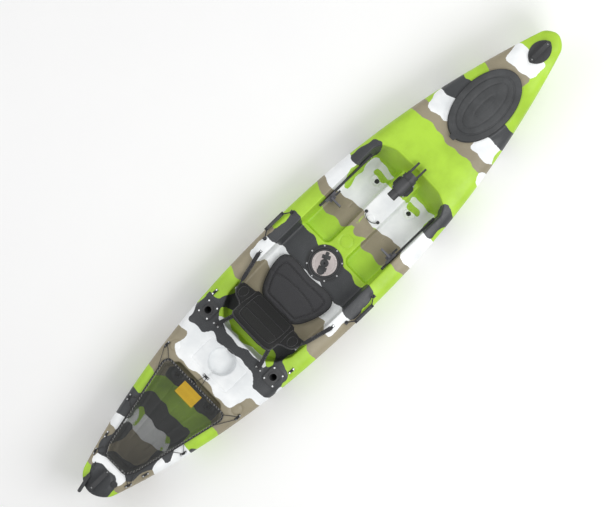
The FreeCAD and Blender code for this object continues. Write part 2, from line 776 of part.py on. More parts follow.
def grip_shape(lift):
    """An arched grip along X: two feet joined by a bar with room for fingers below."""
    long, wide, high = size("grip_long"), size("grip_wide"), size("grip_high")
    foot, gap = size("grip_foot"), size("grip_gap_high")
    outline = [(-long / 2, lift), (-long / 2 + foot, lift), (-long / 2 + foot + 6, lift + gap),
               (long / 2 - foot - 6, lift + gap), (long / 2 - foot, lift), (long / 2, lift),
               (long / 2, lift + high * 0.6), (long / 2 - foot, lift + high),
               (-long / 2 + foot, lift + high), (-long / 2, lift + high * 0.6)]
    wire = rounded(outline, 7)
    face = Part.Face(wire)
    face.rotate(Vector(0, 0, 0), Vector(1, 0, 0), 90)
    face.translate(Vector(0, wide / 2, 0))
    return face.extrude(Vector(0, -wide, 0))


def end_handles():
    spot = size("grip_long") / 2 - size("grip_foot") / 2
    bolts = []
    names = ("bow", "stern")
    for name, frame in zip(names, handle_frames()):
        lift = size("leaf_thick") if name == "bow" else 0
        if name == "bow":
            plate = Part.Face(leaf(0)).extrude(Vector(0, 0, lift))
            plate = holed(plate, [(spot, 0), (-spot, 0)], screw_clearance())
            feature("bow_handle_plate", plate, frame)
        grip = holed(grip_shape(lift), [(spot, 0), (-spot, 0)], screw_clearance())
        sinks = [disc(size("screw_head") + 1, end * spot, 0, lift + 12, 100) for end in (1, -1)]
        feature(f"{name}_handle", grip.cut(sinks), frame)
        for end in (1, -1):
            high = f"{lift + 12}"
            bolts.append(screw(f"{name}_bolt_{end}", frame.multiply(level_frame(end * spot, 0, 0)), high))
    node(group("handle_bolts", bolts), "handle_bolts")


def side_handles():
    """Webbing loops with a moulded grip, each swinging about two lugs on the gunwale."""
    lugs, places = [], []
    half, reach, pin = size("side_span") / 2, size("side_reach"), size("lug_pin")
    eye = pin + size("fit_gap")
    for side, frame in side_frames():
        word = "left" if side > 0 else "right"
        for end in (1, -1):
            lug = disc(12, 0, 0, 0, 3)
            post = Part.makeBox(5, 14, size("lug_height") + pin, Vector(-2.5 + end * 9.5, -7, 0))
            bar = Part.makeCylinder(pin, 21, Vector(-9 * end, 0, size("lug_height")), Vector(end, 0, 0))
            bar = bar.fuse(post).fuse(lug)
            hole = disc(screw_clearance(), -4 * end, 0, -1, 4)
            bar = bar.cut(disc(size("screw_head") + 0.5, -4 * end, 0, 3, 6.5)).cut(hole)
            place = frame.multiply(level_frame(end * half, 0, 0))
            bar.Placement = place
            lugs.append(bar)
            places.append(place.multiply(level_frame(-4 * end, 0, 0)))
        hinge = frame.multiply(level_frame(0, 0, size("lug_height")))
        straps = []
        for end in (1, -1):
            x0, x1 = end * (half - 7), end * (size("side_grip_long") / 2)
            low, high = min(x0 - 5, x0 + 5), max(x0 - 5, x0 + 5)
            loop = Part.makeCylinder(eye + 2, high - low, Vector(low, 0, 0), Vector(1, 0, 0))
            inner = side * (reach - size("side_grip") / 2)
            web = [(x0 - 5, 0), (x0 + 5, 0), (x1 + 8 * end + 6, inner), (x1 + 8 * end - 6, inner)]
            wire = Part.makePolygon([Vector(x, y, -1) for x, y in web + web[:1]])
            link = Part.Face(wire).extrude(Vector(0, 0, 2))
            tail = Part.makeBox(14, 2 * size("side_grip"), 2,
                                Vector(x1 + (0 if end > 0 else -14), side * reach - size("side_grip"), -1))
            bore = Part.makeCylinder(eye, 30, Vector(x0 - 15, 0, 0), Vector(1, 0, 0))
            straps.append(loop.multiFuse([link, tail]).cut(bore))
        strap = Part.makeCompound(straps)
        feature(f"side_handle_strap_{word}", strap, hinge)
        grip = primitive("Cylinder", f"grip_bar_{word}", Radius="side_grip", Height="side_grip_long")
        place = level_frame(-size("side_grip_long") / 2, side * reach, 0)
        grip.Placement = hinge.multiply(place).multiply(Placement(Vector(), Rotation(Vector(0, 1, 0), 90)))
        node(grip, f"side_handle_grip_{word}")
    feature("side_handle_lugs", Part.makeCompound(lugs))
    screws("side_handle_screws", places, "3")


# ---------------------------------------------------------------- foot braces

def rail_side():
    """The rail's outer face, just clear of the sloping wall behind its lower edge."""
    return wall_side(size("rail_level") - size("rail_high") / 2) - size("fit_gap")


def foot_braces():
    rear, front = size("rail_rear"), size("rail_front")
    level, high, thick = size("rail_level"), size("rail_high"), size("rail_thick")
    gap, wall = size("fit_gap"), size("slider_wall")
    outer = rail_side()
    slider_long, at = size("slider_long"), size("pedal_at")
    places = []
    for side in (1, -1):
        word = "left" if side > 0 else "right"

        def brick(x0, x1, y0, y1, z0, z1):
            low = min(side * y0, side * y1)
            return Part.makeBox(x1 - x0, y1 - y0, z1 - z0, Vector(x0, low, z0))

        inner = outer - thick
        rail = brick(rear, front, inner, outer, level - high / 2, level + high / 2)
        groove = brick(rear + 30, front - 30, inner, inner + 4, level - 4, level + 4)
        rail = rail.cut(groove)
        for x in (rear + 14, front - 14):
            hole = Part.makeCylinder(screw_clearance(), 60, Vector(x, side * (inner - 20), level),
                                     Vector(0, side, 0))
            rail = rail.cut(hole)
            turn = Rotation(Vector(0, 0, 1), Vector(0, -side, 0))
            places.append(Placement(Vector(x, side * outer, level), turn))
        feature(f"foot_rail_{word}", rail)

        x0, x1 = at - slider_long / 2, at + slider_long / 2
        reach = level + high / 2 + gap + wall
        hook = brick(x0, x1, inner - gap - wall, outer - 4, 2 * level - reach, reach)
        hook = hook.cut(brick(x0 - 1, x1 + 1, inner - gap, outer + 1,
                              level - high / 2 - gap, level + high / 2 + gap))
        plate_side = inner - gap - wall
        plate = brick(at - size("pedal_thick") / 2, at + size("pedal_thick") / 2,
                      plate_side - size("pedal_wide"), plate_side + 1,
                      level - size("pedal_high") / 2 - 18, level + size("pedal_high") / 2 - 18)
        slots = [brick(at - 20, at + 20, plate_side - size("pedal_wide") + 12, plate_side - 14, z, z + 9)
                 for z in (level - 56, level - 34, level - 12)]
        gusset = brick(at - 22, at + 22, plate_side - 18, plate_side + 1, level - 8, level + 8)
        pedal = hook.multiFuse([plate, gusset]).cut(slots)
        feature(f"foot_pedal_{word}", pedal)

        long = size("trigger_long")
        start = at + size("pedal_thick") / 2 + 18
        lever = brick(start, start + long, plate_side - 12, plate_side - gap, level + 12, level + 18)
        toe = brick(start + long - 6, start + long, plate_side - 12, plate_side - gap,
                    level + 12, level + 27)
        feature(f"pedal_trigger_{word}", lever.fuse(toe))
    screws("foot_rail_screws", places, "rail_thick")


# ---------------------------------------------------------------- seat

def back_hinge():
    x = -size("seat_rear") - size("back_gap")
    z = size("cockpit_floor") + size("seat_thick") + size("back_lift")
    return Vector(x, 0, z)


def back_frame():
    """The seat back's own frame: Z up the back, X out of its front face."""
    return Placement(back_hinge(), Rotation(Vector(0, 1, 0), -size("back_lean")))


def wing_point(side, up, forward=0.0):
    return back_frame().multVec(Vector(forward, side * size("wing_half"), up))


def strap(label, start, end, cross):
    """A flat webbing strap between two points; cross is its width direction."""
    run = end - start
    across = (cross - run * (cross.dot(run) / run.dot(run))).normalize()
    corners = [start + across * w for w in (-size("strap_wide") / 2, size("strap_wide") / 2)]
    corners += [end + across * w for w in (size("strap_wide") / 2, -size("strap_wide") / 2)]
    face = Part.Face(Part.makePolygon(corners + corners[:1]))
    normal = run.cross(across).normalize() * size("strap_thick")
    face.translate(normal * -0.5)
    return feature(label, face.extrude(normal))


def seat():
    deep = "seat_rear - seat_front"
    cushion = padded("seat_cushion", "XY_Plane", lambda s: draw_rectangle(s, deep, "2 * seat_half"),
                     "seat_thick", round_edges="seat_thick / 3")
    middle = -(size("seat_rear") + size("seat_front")) / 2
    node(cushion, "seat_cushion", level_frame(middle, 0, size("cockpit_floor")))

    long, tail = size("back_long"), size("back_tail")
    panel_outline = [(-size("back_half"), -tail), (size("back_half"), -tail),
                     (size("back_half") - 15, long - tail), (-size("back_half") + 15, long - tail)]
    wings_outline = [(-size("wing_half") + 30, size("wing_low")), (size("wing_half") - 30, size("wing_low")),
                     (size("wing_half"), size("wing_low") + 60), (size("wing_half"), size("wing_high") - 40),
                     (size("wing_half") - 40, size("wing_high")),
                     (-size("wing_half") + 40, size("wing_high")),
                     (-size("wing_half"), size("wing_high") - 40), (-size("wing_half"), size("wing_low") + 60)]
    parts = []
    for outline, radius, thick in ((panel_outline, 45, size("back_thick")),
                                   (wings_outline, 18, size("wing_thick"))):
        solid = prism(outline, radius, -thick / 2, thick / 2)
        turned = solid.copy()
        turned.Placement = Placement(Vector(), Rotation(Vector(0, 1, 0), Vector(0, 0, 1), Vector(1, 0, 0), "ZXY"))
        parts.append(turned)
    feature("seat_back", parts[0].fuse(parts[1]), back_frame())

    buckles = []
    frames = eye_frames()
    for side in (1, -1):
        word = "left" if side > 0 else "right"
        at = wing_point(side, size("wing_low") + 110)
        buckle = Part.makeBox(10, 5, 34, Vector(-5, 0, -17))
        buckle.translate(Vector(0, 0 if side > 0 else -5, 0))
        window = Part.makeBox(20, 1.6, 26, Vector(-10, 1.7 if side > 0 else -3.3, -13))
        buckle = buckle.cut(window)
        buckle.Placement = Placement(at, back_frame().Rotation)
        buckles.append(buckle)
        front_eye = frames[8 if side > 0 else 9].multVec(Vector(0, 0, size("strap_wide") / 2 + 7))
        start = at + Vector(24, side * 2.5, -8)
        strap(f"seat_front_strap_{word}", start, front_eye, Vector(0, 0.2 * side, 1))
        rear_eye = frames[6 if side > 0 else 7].multVec(Vector(0, 0, size("eye_radius") + 8))
        pull = back_frame().multVec(Vector(-size("back_thick") / 2 - 4, side * 120, 215))
        strap(f"seat_rear_strap_{word}", pull, rear_eye, Vector(0, 1, 0))
    feature("seat_buckles", Part.makeCompound(buckles))


# ---------------------------------------------------------------- adjustable rod holder

def pivot():
    return Vector(size("holder_at"), 0, holder_level() + size("pivot_high"))


def rod_holder():
    at, level = size("holder_at"), holder_level()
    half = size("holder_plate") / 2
    corner = half * math.tan(math.pi / 8)
    octagon = [(-half, -corner), (-corner, -half), (corner, -half), (half, -corner),
               (half, corner), (corner, half), (-corner, half), (-half, corner)]
    thick, high = size("holder_plate_thick"), size("post_high")
    gap = size("fit_gap")
    spots = [(x * (half - 17), y * (half - 17)) for x in (-1, 1) for y in (-1, 1)]
    base = prism(octagon, 6, 0, thick).fuse(disc(size("post_radius"), 0, 0, 0, high))
    base = base.cut(disc(size("spindle_radius") + gap, 0, 0, thick, high + 1))
    feature("rod_holder_base", holed(base, spots, screw_clearance()), level_frame(at, 0, level))
    screws("rod_holder_screws", [level_frame(at + x, y, level) for x, y in spots], "holder_plate_thick")

    pivot_up = size("pivot_high")
    cheek, lug = size("cheek_thick"), size("lug_half") + gap
    turntable = disc(size("post_radius"), 0, 0, high + gap, high + 10)
    spindle = disc(size("spindle_radius"), 0, 0, thick + 2, high + 5)
    cheeks = []
    bolt_bore = size("bolt_radius") + gap / 2
    for side in (1, -1):
        y = lug if side > 0 else -lug - cheek
        round_end = Part.makeCylinder(17, cheek, Vector(0, y, pivot_up), Vector(0, 1, 0))
        upright = Part.makeBox(34, cheek, pivot_up - high - 5, Vector(-17, y, high + 5))
        cheeks += [round_end, upright]
    swivel = turntable.multiFuse([spindle] + cheeks)
    hole = Part.makeCylinder(bolt_bore, 100, Vector(0, -50, pivot_up), Vector(0, 1, 0))
    feature("rod_holder_swivel", swivel.cut(hole), level_frame(at, 0, level))

    outside = lug + cheek
    shaft = Part.makeCylinder(size("bolt_radius"), 2 * outside + 12, Vector(0, -outside - gap, 0), Vector(0, 1, 0))
    head = Part.makeCylinder(9, 6, Vector(0, -outside - gap - 6, 0), Vector(0, 1, 0))
    feature("rod_holder_bolt", shaft.fuse(head), Placement(pivot(), Rotation()))
    knob = Part.makeCylinder(size("knob_radius"), 16, Vector(0, outside + gap, 0), Vector(0, 1, 0))
    grooves = [Part.makeCylinder(4, 20, Vector((size("knob_radius") + 1.5) * math.cos(a), outside,
                                               (size("knob_radius") + 1.5) * math.sin(a)), Vector(0, 1, 0))
               for a in [math.pi / 3 * i for i in range(6)]]
    bore = Part.makeCylinder(size("bolt_radius") + gap / 2, 60, Vector(0, 0, 0), Vector(0, 1, 0))
    feature("rod_holder_knob", knob.cut(grooves + [bore]), Placement(pivot(), Rotation()))

    up = size("cradle_high")
    rear = -size("collar_long") - size("barrel_long") / 2 + 13

    def tube(radius, x0, x1):
        return Part.makeCylinder(radius, x1 - x0, Vector(x0, 0, up), Vector(1, 0, 0))

    barrel_start = rear + size("collar_long")
    barrel_end = barrel_start + size("barrel_long")
    prong_end = barrel_end + size("prong_long")
    ring_long = size("lock_ring_long")
    ring_start = barrel_end - ring_long - 22
    body = tube(size("cradle_bore") + 5, rear, barrel_start + 2)
    body = body.fuse(tube(size("cradle_radius"), barrel_start, barrel_end))
    body = body.cut(tube(size("cradle_radius") + 5, ring_start - gap, ring_start + ring_long + gap).cut(
        tube(size("cradle_radius") - 5, ring_start - 5, ring_start + ring_long + 5)))
    prongs = tube(size("cradle_bore") + size("prong_thick"), barrel_end - 2, prong_end)
    slot = Part.makeBox(size("prong_long") + 6, 200, 120, Vector(barrel_end, -100, up + 12))
    under_slot = Part.makeBox(size("prong_long") + 6, 200, 120, Vector(barrel_end, -100, up - 132))
    prongs = prongs.cut([slot, under_slot])
    lug_block = Part.makeBox(30, 2 * size("lug_half"), up - size("cradle_bore") - 4,
                             Vector(-15, -size("lug_half"), 0))
    lug_round = Part.makeCylinder(15, 2 * size("lug_half"), Vector(0, -size("lug_half"), 0), Vector(0, 1, 0))
    body = body.multiFuse([prongs, lug_block, lug_round])
    rod_bore = tube(size("cradle_bore"), rear - 5, prong_end + 5)
    bolt_hole = Part.makeCylinder(bolt_bore, 80, Vector(0, -40, 0), Vector(0, 1, 0))
    feature("rod_holder_cradle", body.cut([rod_bore, bolt_hole]), Placement(pivot(), Rotation()))
    ring = tube(size("lock_ring_radius"), ring_start, ring_start + ring_long)
    ring = ring.cut(tube(size("cradle_radius") - 5 + gap, ring_start - 1, ring_start + ring_long + 1))
    nubs = [Part.makeCylinder(4, ring_long, Vector(ring_start, size("lock_ring_radius") * math.cos(a),
                                                   up + size("lock_ring_radius") * math.sin(a)),
                              Vector(1, 0, 0)) for a in [math.pi / 4 * i for i in range(8)]]
    feature("rod_holder_ring", ring.cut(nubs), Placement(pivot(), Rotation()))


# ---------------------------------------------------------------- cords

BEND_SHARE = 0.45       # how much of its shorter run each bend of a cord takes up
SWEEP_TOLERANCE = 0.01


def cord(label, points, diameter):
    """A round cord along straight runs joined by tangent arcs."""
    edges = []
    start = points[0]
    for before, corner, after in zip(points, points[1:], points[2:]):
        back, ahead = before - corner, after - corner
        turn = math.pi - back.getAngle(ahead)
        reach = BEND_SHARE * min(back.Length, ahead.Length)
        first = corner + back.normalize() * reach
        last = corner + ahead.normalize() * reach
        depth = reach * (1 / math.cos(turn / 2) - 1) / math.tan(turn / 2)
        middle = corner + (back + ahead).normalize() * depth
        edges.append(Part.LineSegment(start, first).toShape())
        edges.append(Part.Arc(first, middle, last).toShape())
        start = last
    edges.append(Part.LineSegment(start, points[-1]).toShape())
    path = Part.Wire(edges)
    section = Part.Wire(Part.Circle(points[0], edges[0].tangentAt(edges[0].FirstParameter),
                                    diameter / 2).toShape())
    solid = path.makePipeShell([section], True, False)
    wanted = math.pi * diameter ** 2 / 4 * path.Length
    if abs(solid.Volume / wanted - 1) > SWEEP_TOLERANCE:
        raise ValueError(f"{label}: the swept volume doesn't match its length")
    return solid


def ridge_level(x):
    """The top of the centre ridge."""
    share = (x - size("ridge_start")) / (size("ridge_flat") - size("ridge_start"))
    share = min(1, max(0, share))
    return size("cockpit_floor") + (size("ridge_top") - size("cockpit_floor")) * share


def ridge_slope():
    return math.degrees(math.atan2(size("ridge_top") - size("cockpit_floor"),
                                   size("ridge_flat") - size("ridge_start")))


def paddle_keeper():
    at, half = size("keeper_at"), size("keeper_half")
    tilt = Rotation(Vector(0, 1, 0), -ridge_slope())
    eyelets = []
    for side in (1, -1):
        base = disc(10, 0, 0, 0, 5).fuse(disc(6, 0, 0, 0, 11))
        base = base.fuse(Part.makeSphere(6, Vector(0, 0, 11)))
        base.Placement = Placement(Vector(at, side * half, ridge_level(at)), tilt)
        eyelets.append(base)
    feature("keeper_eyelets", Part.makeCompound(eyelets))
    offsets = [(0, 1), (-16, 0.83), (-27, 0.5), (-31, 0.13), (-31, -0.13), (-27, -0.5), (-16, -0.83), (0, -1)]
    lift = size("keeper_cord") / 2 + 6
    points = [Vector(at + x, share * half, ridge_level(at + x) + lift) for x, share in offsets]
    feature("keeper_cord", cord("keeper_cord", points, size("keeper_cord")))


# ---------------------------------------------------------------- tankwell cover and rigging

def mesh_frame():
    rear = -size("tank_rear")
    slope = math.degrees(math.atan2(mesh_level(0) - mesh_level(rear), -rear))
    return Placement(Vector(rear, 0, mesh_level(rear)), Rotation(Vector(0, 1, 0), -slope))


def mesh_outline(grow):
    """The cover's outline in its own frame, whose X starts at the well's rear."""
    rear, front = size("tank_rear"), size("mesh_front")
    half = [(-rear, size("tank_rear_half")), (-rear + 60, size("tank_rear_half") + 32),
            (-front - 30, size("tank_front_half")), (-front, size("tank_front_half") - 14)]
    outline = grown(mirrored(half), size("mesh_over") + grow)
    return [(x + rear, y) for x, y in outline]


def tank_cover():
    thick, hem, hem_thick = size("mesh_thick"), size("hem_wide"), size("hem_thick")
    frame = mesh_frame()
    sheet_low = (hem_thick - thick) / 2
    feature("tankwell_mesh", prism(mesh_outline(-hem), 40, sheet_low, sheet_low + thick), frame)
    band = prism(mesh_outline(0), 46, 0, hem_thick).cut(prism(mesh_outline(-hem), 40, -1, hem_thick + 1))
    feature("mesh_hem", band, frame)
    patch = Part.makeBox(86, 140, 1.5, Vector(size("tank_rear") - size("mesh_front") - 86 - 8 - hem, -70,
                                              sheet_low + thick))
    feature("mesh_patch", patch, frame)
    rig(frame)


def rig(frame):
    """Thin shock cords from the cover's hem to the padeyes beside it."""
    frames = eye_frames()
    hem_high = size("hem_thick") + size("rig_cord") / 2 + 1
    rear = size("tank_rear")
    hem_points = {0: ((-1688, 84), (-1640, 112)), 2: ((-1410, 168), (-1320, 190)),
                  4: ((-1120, 236), (-1046, 222))}
    cords = []
    for first, spots in hem_points.items():
        for number, side in ((first, 1), (first + 1, -1)):
            eye = frames[number].multVec(Vector(0, 0, 8))
            ends = [frame.multVec(Vector(x + rear, side * y, hem_high)) for x, y in spots]
            cords.append(loop_cord(ends[0], eye, ends[1]))
    eye = frames[-1].multVec(Vector(0, 0, 8))
    ends = [frame.multVec(Vector(rear - size("mesh_front") + 4, y, hem_high)) for y in (-24, 24)]
    cords.append(loop_cord(ends[0], eye, ends[1]))
    feature("mesh_cords", Part.makeCompound(cords))


def loop_cord(start, apex, end):
    """A cord from the hem, round a padeye and back: the turn is spread over three points."""
    to_start, to_end = (start - apex).normalize(), (end - apex).normalize()
    outwards = (to_start + to_end).normalize()
    across = (to_start - to_end).normalize()
    near = [apex + across * 9 + outwards * 14, apex + across * 5.5, apex - across * 5.5,
            apex - across * 9 + outwards * 14]
    return cord("mesh_cords", [start] + near + [end], size("rig_cord"))


def padeyes():
    eyes, places = [], []
    for index, frame in enumerate(eye_frames(), start=1):
        plate = block(f"eye_plate_{index}", "eye_long", "eye_wide", "3")
        ring = primitive("Torus", f"eye_ring_{index}", Radius1="eye_radius", Radius2="eye_wire",
                         Angle3="180", z="2")
        ring.Placement = Placement(ring.Placement.Base, Rotation(Vector(1, 0, 0), 90))
        holes = []
        for end in (1, -1):
            spot = end * (size("eye_long") / 2 - 6)
            holes.append(primitive("Cylinder", f"eye_hole_{index}_{end + 2}",
                                   Radius="screw_radius + fit_gap / 2", Height="8", z="-2",
                                   x=f"{end} * (eye_long / 2 - 6)"))
            places.append(frame.multiply(level_frame(spot, 0, 0)))
        eye = cut(f"eye_{index}", fuse(f"eye_body_{index}", [plate, ring]),
                  group(f"eye_holes_{index}", holes))
        eye.Placement = frame
        eyes.append(eye)
    node(group("deck_padeyes", eyes), "deck_padeyes")
    screws("padeye_screws", places, "3")


def drain():
    frame = deck_frame(-size("drain_at"), -size("drain_side"))
    gap = size("fit_gap")
    plug, rim = size("plug_radius"), size("drain_radius")
    housing = disc(rim, 0, 0, 0, 3).fuse(disc(plug + 3.5, 0, 0, -16, 3))
    feature("drain_housing", housing.cut(disc(plug + gap / 2, 0, 0, -20, 10)), frame)
    stopper = disc(plug, 0, 0, -14, 3 + gap).fuse(disc(rim - 3, 0, 0, 3 + gap, 8))
    slot = Part.makeBox(2 * rim, 4, 4, Vector(-rim, -2, 5))
    feature("drain_plug", stopper.cut(slot), frame)


def stern_toggle():
    """A carrying toggle that lies on the stern's port side, on a short loop."""
    half = size("hull_length") / 2
    radius, long = size("toggle_radius"), size("toggle_long")
    start = Vector(-half + 69, 62, 0)
    heading = Vector(-1, -0.24, 0).normalize()
    level = deck_height(start.x, start.y) + radius + 7
    start.z = level
    bar = Part.makeCylinder(radius, long, start, heading)
    ends = [Part.makeSphere(radius, start), Part.makeSphere(radius, start + heading * long)]
    feature("stern_toggle", bar.multiFuse(ends))
    tie_at = start - heading * (radius + 1)
    home = Vector(-half + 150, 92, 0)
    home.z = deck_height(home.x, home.y) + 4
    middle = (tie_at + home) * 0.5 + Vector(0, 8, 3)
    quarter = (tie_at + middle) * 0.5 + Vector(3, 6, 1)
    feature("stern_toggle_loop", cord("stern_toggle_loop", [tie_at, quarter, middle + Vector(14, 0, 0), home], 6))


# ---------------------------------------------------------------- build

def check_and_write():
    doc.recompute()
    for made in doc.Objects:
        if "Invalid" in made.State or "Error" in made.State:
            raise ValueError(f"{made.Name} failed: {made.State}")
    os.makedirs("parts", exist_ok=True)
    labels = set()
    for made in NODES:
        shape = made.Shape
        if shape.isNull() or not shape.isValid() or not shape.Solids:
            raise ValueError(f"{made.Label} has no valid solid")
        if made.Label in labels:
            raise ValueError(f"{made.Label} is used twice")
        labels.add(made.Label)
        shape.exportStep(os.path.join("parts", made.Label + ".step"))
        print(made.Label, round(shape.Volume), len(shape.Solids))


bottom_shape, deck_shape = shell()
feature("hull_bottom", bottom_shape)
feature("deck", deck_shape)
foam_blocks()
bow_hatch()
centre_hatch()
rod_tubes()
end_handles()
side_handles()
foot_braces()
seat()
rod_holder()
paddle_keeper()
tank_cover()
padeyes()
drain()
stern_toggle()
check_and_write()
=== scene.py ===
"""Finished look of a sit-on-top fishing kayak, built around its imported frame."""

import json
import math

import bmesh
import bpy
import numpy as np
from mathutils import Matrix, Vector, geometry


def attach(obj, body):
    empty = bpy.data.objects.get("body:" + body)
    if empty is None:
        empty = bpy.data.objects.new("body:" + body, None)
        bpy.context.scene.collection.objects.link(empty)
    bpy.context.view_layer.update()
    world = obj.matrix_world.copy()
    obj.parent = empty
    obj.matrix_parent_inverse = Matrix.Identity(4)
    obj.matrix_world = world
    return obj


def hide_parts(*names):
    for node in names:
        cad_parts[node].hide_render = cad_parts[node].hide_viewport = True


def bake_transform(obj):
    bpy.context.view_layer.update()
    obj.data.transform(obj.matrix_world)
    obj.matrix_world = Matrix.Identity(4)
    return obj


bl_info = {
    "name": "Sit-on-top kayak",
    "version": (1, 0, 0),
    "blender": (4, 5, 0),
    "location": "View3D > Sidebar > Kayak",
    "description": "Shell, seat, net, hatches and fittings of a fishing kayak",
    "category": "Object",
}

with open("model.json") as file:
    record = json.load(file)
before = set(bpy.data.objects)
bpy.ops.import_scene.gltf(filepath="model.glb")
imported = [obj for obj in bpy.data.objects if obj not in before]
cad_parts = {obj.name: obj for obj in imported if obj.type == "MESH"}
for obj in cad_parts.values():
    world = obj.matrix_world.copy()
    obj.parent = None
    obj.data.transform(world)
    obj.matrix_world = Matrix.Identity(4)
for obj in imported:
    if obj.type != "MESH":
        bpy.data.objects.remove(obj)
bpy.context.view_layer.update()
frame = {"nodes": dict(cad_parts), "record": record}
MM = 0.001

# ---------------------------------------------------------------- hull form
# Lengths in this part are millimetres, x towards the bow and y to port.
HALF = 1915.0
HALF_BEAM = 384.0
FOREDECK_LEVEL, FOREDECK_SLOPE = 366.7, 0.0579


def ease(t):
    """A smooth rise from 0 to 1."""
    t = np.clip(t, 0, 1)
    return t * t * (3 - 2 * t)


def half_beam(x):
    """Half the width over the seam at each place along the boat."""
    reach = np.abs(x)
    tip = np.where(x >= 0, 65.0, 95.0)
    power = np.where(x >= 0, 2.05, 2.3)
    end = np.where(x >= 0, 60.0, 80.0)
    beam = tip + (HALF_BEAM - tip) * (1 - (reach / HALF) ** power)
    turn = np.clip((reach - (HALF - end)) / end, 0, 1)
    return beam * np.sqrt(np.maximum(1 - turn * turn, 0))


def seam_height(x):
    """Height of the line where deck and bottom meet."""
    top = np.where(x >= 0, 330.0, 300.0)
    return 232 + (top - 232) * (np.abs(x) / HALF) ** 2.2


def keel_height(x):
    """Height of the keel: level amidships and rising to both ends."""
    p = np.clip((np.abs(x) - 1000) / 915, 0, 1)
    return -2 + 215 * p**5


def across(x, y):
    """Share of the half beam: 0 on the centre line, 1 at the seam."""
    v = np.clip(np.abs(y) / np.maximum(half_beam(x), 0.1), 0, 1)
    return np.where(v > 0.9992, 1.0, v)


def deck_height(x, y):
    """Height of the plain crowned deck."""
    v = across(x, y)
    crown = 8 + 22 * np.exp(-(((x - 1250) / 500) ** 2))
    side = (66 - 10 * np.abs(x) / HALF) * np.sqrt(np.maximum(1 - v**8, 0))
    return seam_height(x) + side + crown * (1 - v * v)


def bottom_height(x, y):
    """Height of the bottom, with a low strake on each side of the keel."""
    v = across(x, y)
    w = np.clip((v - 0.3) / 0.7, 0, 1)
    keel = keel_height(x)
    rise = (seam_height(x) - keel) * (1 - np.sqrt(np.maximum(1 - w**3, 0)))
    strake = 3.0 * np.exp(-(((v - 0.22) / 0.035) ** 2)) * (np.abs(x) < 1500)
    return np.maximum(keel + rise, 0) + np.minimum(strake, 3) * (np.abs(x) < 1400)


# ---------------------------------------------------------------- outlines


def outline(corners, radius, step=12.0):
    """Points and outward normals round a closed anticlockwise run of corners."""
    corners = [np.array(c, float) for c in corners]
    count = len(corners)
    turns = []
    for i in range(count):
        a, b, c = corners[i - 1], corners[i], corners[(i + 1) % count]
        before, after = np.linalg.norm(b - a), np.linalg.norm(c - b)
        u, v = (b - a) / before, (c - b) / after
        turn = math.atan2(u[0] * v[1] - u[1] * v[0], u @ v)
        half = math.tan(abs(turn) / 2)
        cut = min(radius * half, 0.48 * min(before, after))
        turns.append((b - u * cut, u, turn, cut / max(half, 1e-9)))
    points, normals = [], []
    for i, (start, u, turn, r) in enumerate(turns):
        side = 1 if turn > 0 else -1
        left = np.array([-u[1], u[0]]) * side
        centre = start + left * r
        pieces = max(2, int(round(r * abs(turn) / 5)))
        for k in range(pieces + 1):
            angle = turn * k / pieces
            arm = -left
            c, s = math.cos(angle), math.sin(angle)
            arm = np.array([arm[0] * c - arm[1] * s, arm[0] * s + arm[1] * c])
            points.append(centre + arm * r)
            normals.append(arm * side)
        finish = turns[(i + 1) % count][0]
        run = finish - points[-1]
        length = np.linalg.norm(run)
        inner = int(length / step)
        for k in range(1, inner + 1):
            points.append(points[-1] + run / (inner + 1))
            normals.append(np.array([run[1], -run[0]]) / length)
    return np.array(points), np.array(normals)


def mirrored(half):
    """A closed anticlockwise run from its port half, listed from aft to forward."""
    port = [(x, y) for x, y in half]
    return [(x, -y) for x, y in port] + port[::-1]


def inside_distance(points, x, y):
    """How far each place is inside a closed outline; outside is negative."""
    result = np.full(x.shape, -400.0)
    low, high = points.min(0) - 60, points.max(0) + 60
    near = np.flatnonzero((x > low[0]) & (x < high[0]) & (y > low[1]) & (y < high[1]))
    a, b = points, np.roll(points, -1, 0)
    for part in np.array_split(near, max(1, len(near) // 4000)):
        if not len(part):
            continue
        p = np.stack([x[part], y[part]], 1)[:, None]
        run = (b - a)[None]
        t = ((p - a) * run).sum(2) / np.maximum((run * run).sum(2), 1e-9)
        gap = p - (a + np.clip(t, 0, 1)[..., None] * run)
        far = np.sqrt((gap * gap).sum(2).min(1))
        over = (a[None, :, 1] > p[..., 1]) != (b[None, :, 1] > p[..., 1])
        rise = np.where(np.abs(run[..., 1]) < 1e-9, 1e-9, run[..., 1])
        cross = a[None, :, 0] + (p[..., 1] - a[None, :, 1]) * run[..., 0] / rise
        odd = (over & (p[..., 0] < cross)).sum(1) % 2 == 1
        result[part] = np.where(odd, far, -far)
    return result


def ring(centre, radius, count=28):
    """Points of a circle."""
    angle = np.linspace(0, 2 * math.pi, count, endpoint=False)
    return np.stack(
        [centre[0] + radius * np.cos(angle), centre[1] + radius * np.sin(angle)], 1
    )


def oval(centre, length, width, count=96):
    """Points of an ellipse."""
    angle = np.linspace(0, 2 * math.pi, count, endpoint=False)
    return np.stack(
        [
            centre[0] + length / 2 * np.cos(angle),
            centre[1] + width / 2 * np.sin(angle),
        ],
        1,
    )


COCKPIT = outline(
    mirrored(
        [(-672, 150), (-600, 228), (-520, 268), (-292, 284), (691, 284), (741, 254),
         (786, 150)]
    ),
    50,
)
TANK = outline(mirrored([(-1690, 82), (-1630, 114), (-1085, 238), (-1000, 180)]), 42)
PANEL = outline(mirrored([(-942, 146), (-762, 146)]), 14)
# Each tub: outline, height that its wall is drawn down from, slope, lip and foot radius.
WALLS = {
    "cockpit": (COCKPIT[0], 343.0, 203 / 22, 10.0, 16.0),
    "tank": (TANK[0], 426.0, 266 / 18, 12.0, 26.0),
}
